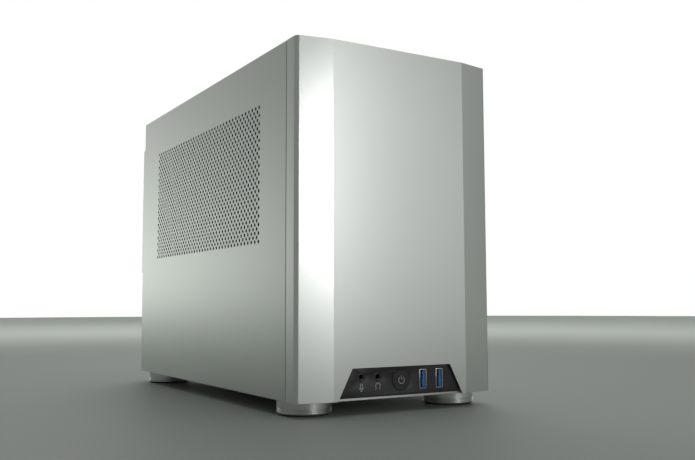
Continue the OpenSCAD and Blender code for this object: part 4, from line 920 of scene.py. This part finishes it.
button_middle = ((button_low.x + button_high.x) / 2, (button_low.z + button_high.z) / 2)
printed("power_symbol", [arc(2.3, 125, 415), [(0, 0.5), (0, 3.1)]], button_middle, button_low.y,
        "power_button_cap")
jack_spots = [jack_low.x + 3.75 * mm, jack_high.x - 3.75 * mm]
jack_z = (jack_low.z + jack_high.z) / 2
symbol_z = jack_z - 6.4 * mm
printed("microphone_symbol",
        [arc(0.75, 0, 180, 10, (0, 1.1)) + arc(0.75, 180, 360, 10, (0, -0.2)) + [(0.75, 1.1)],
         arc(1.5, 190, 350, 12, (0, -0.2)), [(0, -1.75), (0, -2.6)], [(-0.9, -2.6), (0.9, -2.6)]],
        (jack_spots[0], symbol_z), bezel_front, "case")
printed("headphone_symbol",
        [[(-1.9, -1.6)] + arc(1.9, 180, 0, 18, (0, 0.2)) + [(1.9, -1.6)],
         [(-1.9, -2.1), (-1.9, -0.4)], [(-1.5, -2.1), (-1.5, -0.4)],
         [(1.9, -2.1), (1.9, -0.4)], [(1.5, -2.1), (1.5, -0.4)]],
        (jack_spots[1], symbol_z), bezel_front, "case")

# A thin bright contact sleeve in each jack, and four gold contacts on each blue tongue
tongue_low, tongue_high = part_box("front_usb_tongues")
usb_pitch = (usb_high.x - usb_low.x) - 5.9 * mm
facing = Matrix.Rotation(math.radians(90), 4, "X")
build = bmesh.new()
for x in jack_spots:
    place = Matrix.Translation((x, jack_low.y + 0.9 * mm, jack_z)) @ facing
    lathe(build, [(1.92 * mm, 0), (1.72 * mm, 0), (1.72 * mm, -2.4 * mm), (1.92 * mm, -2.4 * mm),
                  (1.92 * mm, 0)], place, 40)
bmesh.ops.remove_doubles(build, verts=build.verts, dist=0.001 * mm)
bmesh.ops.recalc_face_normals(build, faces=build.faces)
finish_piece("jack_contact_sleeves", build, bright_steel, "case")
build = bmesh.new()
for i in range(2):
    for k in range(4):
        left = tongue_low.x + i * usb_pitch
        up = (tongue_low.z + tongue_high.z) / 2 + (k - 1.5) * 2.5 * mm
        box_at(build, (left - 0.08 * mm, tongue_low.y + 0.6 * mm, up - 0.5 * mm),
               (left + 0.1 * mm, tongue_low.y + 7 * mm, up + 0.5 * mm), 0.04 * mm)
finish_piece("usb_contacts", build, contact_gold, "case")


# ---- Outer panels -------------------------------------------------------------------------------
# Four covers of aluminium sheet: a folded front tray with two soft bends each side, two flat sides
# with a grip tab on the rear edge, and a flat top. They are bead blasted and clear anodised.
panel_edge = 0.25 * mm
anodised = grained_finish("blasted_anodised_aluminium", (0.64, 0.665, 0.645), (0.7, 0.72, 0.7), 1.0,
                          0.29, 7000, 0.004 * mm)
dress("front_panel", anodised, panel_edge)


def vent(corner, columns, rows):
    """Outlines of two interleaved square grids of holes, from the lower corner hole, in mm."""
    spots = [(i, j) for i in range(columns + 1) for j in range(rows + 1)]
    spots += [(i + 0.5, j + 0.5) for i in range(columns) for j in range(rows)]
    return [circle_of(hole_d, (corner[0] + i * hole_pitch, corner[1] + j * hole_pitch))
            for i, j in spots]


side_low, side_high = (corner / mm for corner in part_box("left_panel"))
rear_edge = 162.0
side_outline = [(side_low.y, side_low.z), (rear_edge, side_low.z), (rear_edge, 14), (163.2, 15.2),
                (163.2, 104), (165, 104), (side_high.y, 105), (side_high.y, 223.5), (165, 224.5),
                (rear_edge, 224.5), (rear_edge, side_high.z), (side_low.y, side_high.z)]
vent_corner = (-104.4, 117)
thickness = side_high.x - side_low.x
for name, columns in (("left", 37), ("right", 17)):
    low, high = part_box(name + "_panel")
    upright = Matrix(((0, 0, 1, (low.x + high.x) / 2), (1, 0, 0, 0), (0, 1, 0, 0), (0, 0, 0, 1)))
    cut_sheet(name + "_panel_sheet", side_outline, vent(vent_corner, columns, 16), thickness, upright,
              panel_edge / mm, anodised, name + "_cover", name + "_panel")
top_low, top_high = (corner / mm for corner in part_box("top_panel"))
flat = Matrix.Translation((0, 0, (top_low.z + top_high.z) / 2 * mm))
cut_sheet("top_panel_sheet", slot_of(top_low.x, top_high.x, top_low.y, top_high.y),
          vent((-39, -9.5), 13, 23), top_high.z - top_low.z, flat, panel_edge / mm, anodised,
          "top_cover", "top_panel")

low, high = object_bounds()
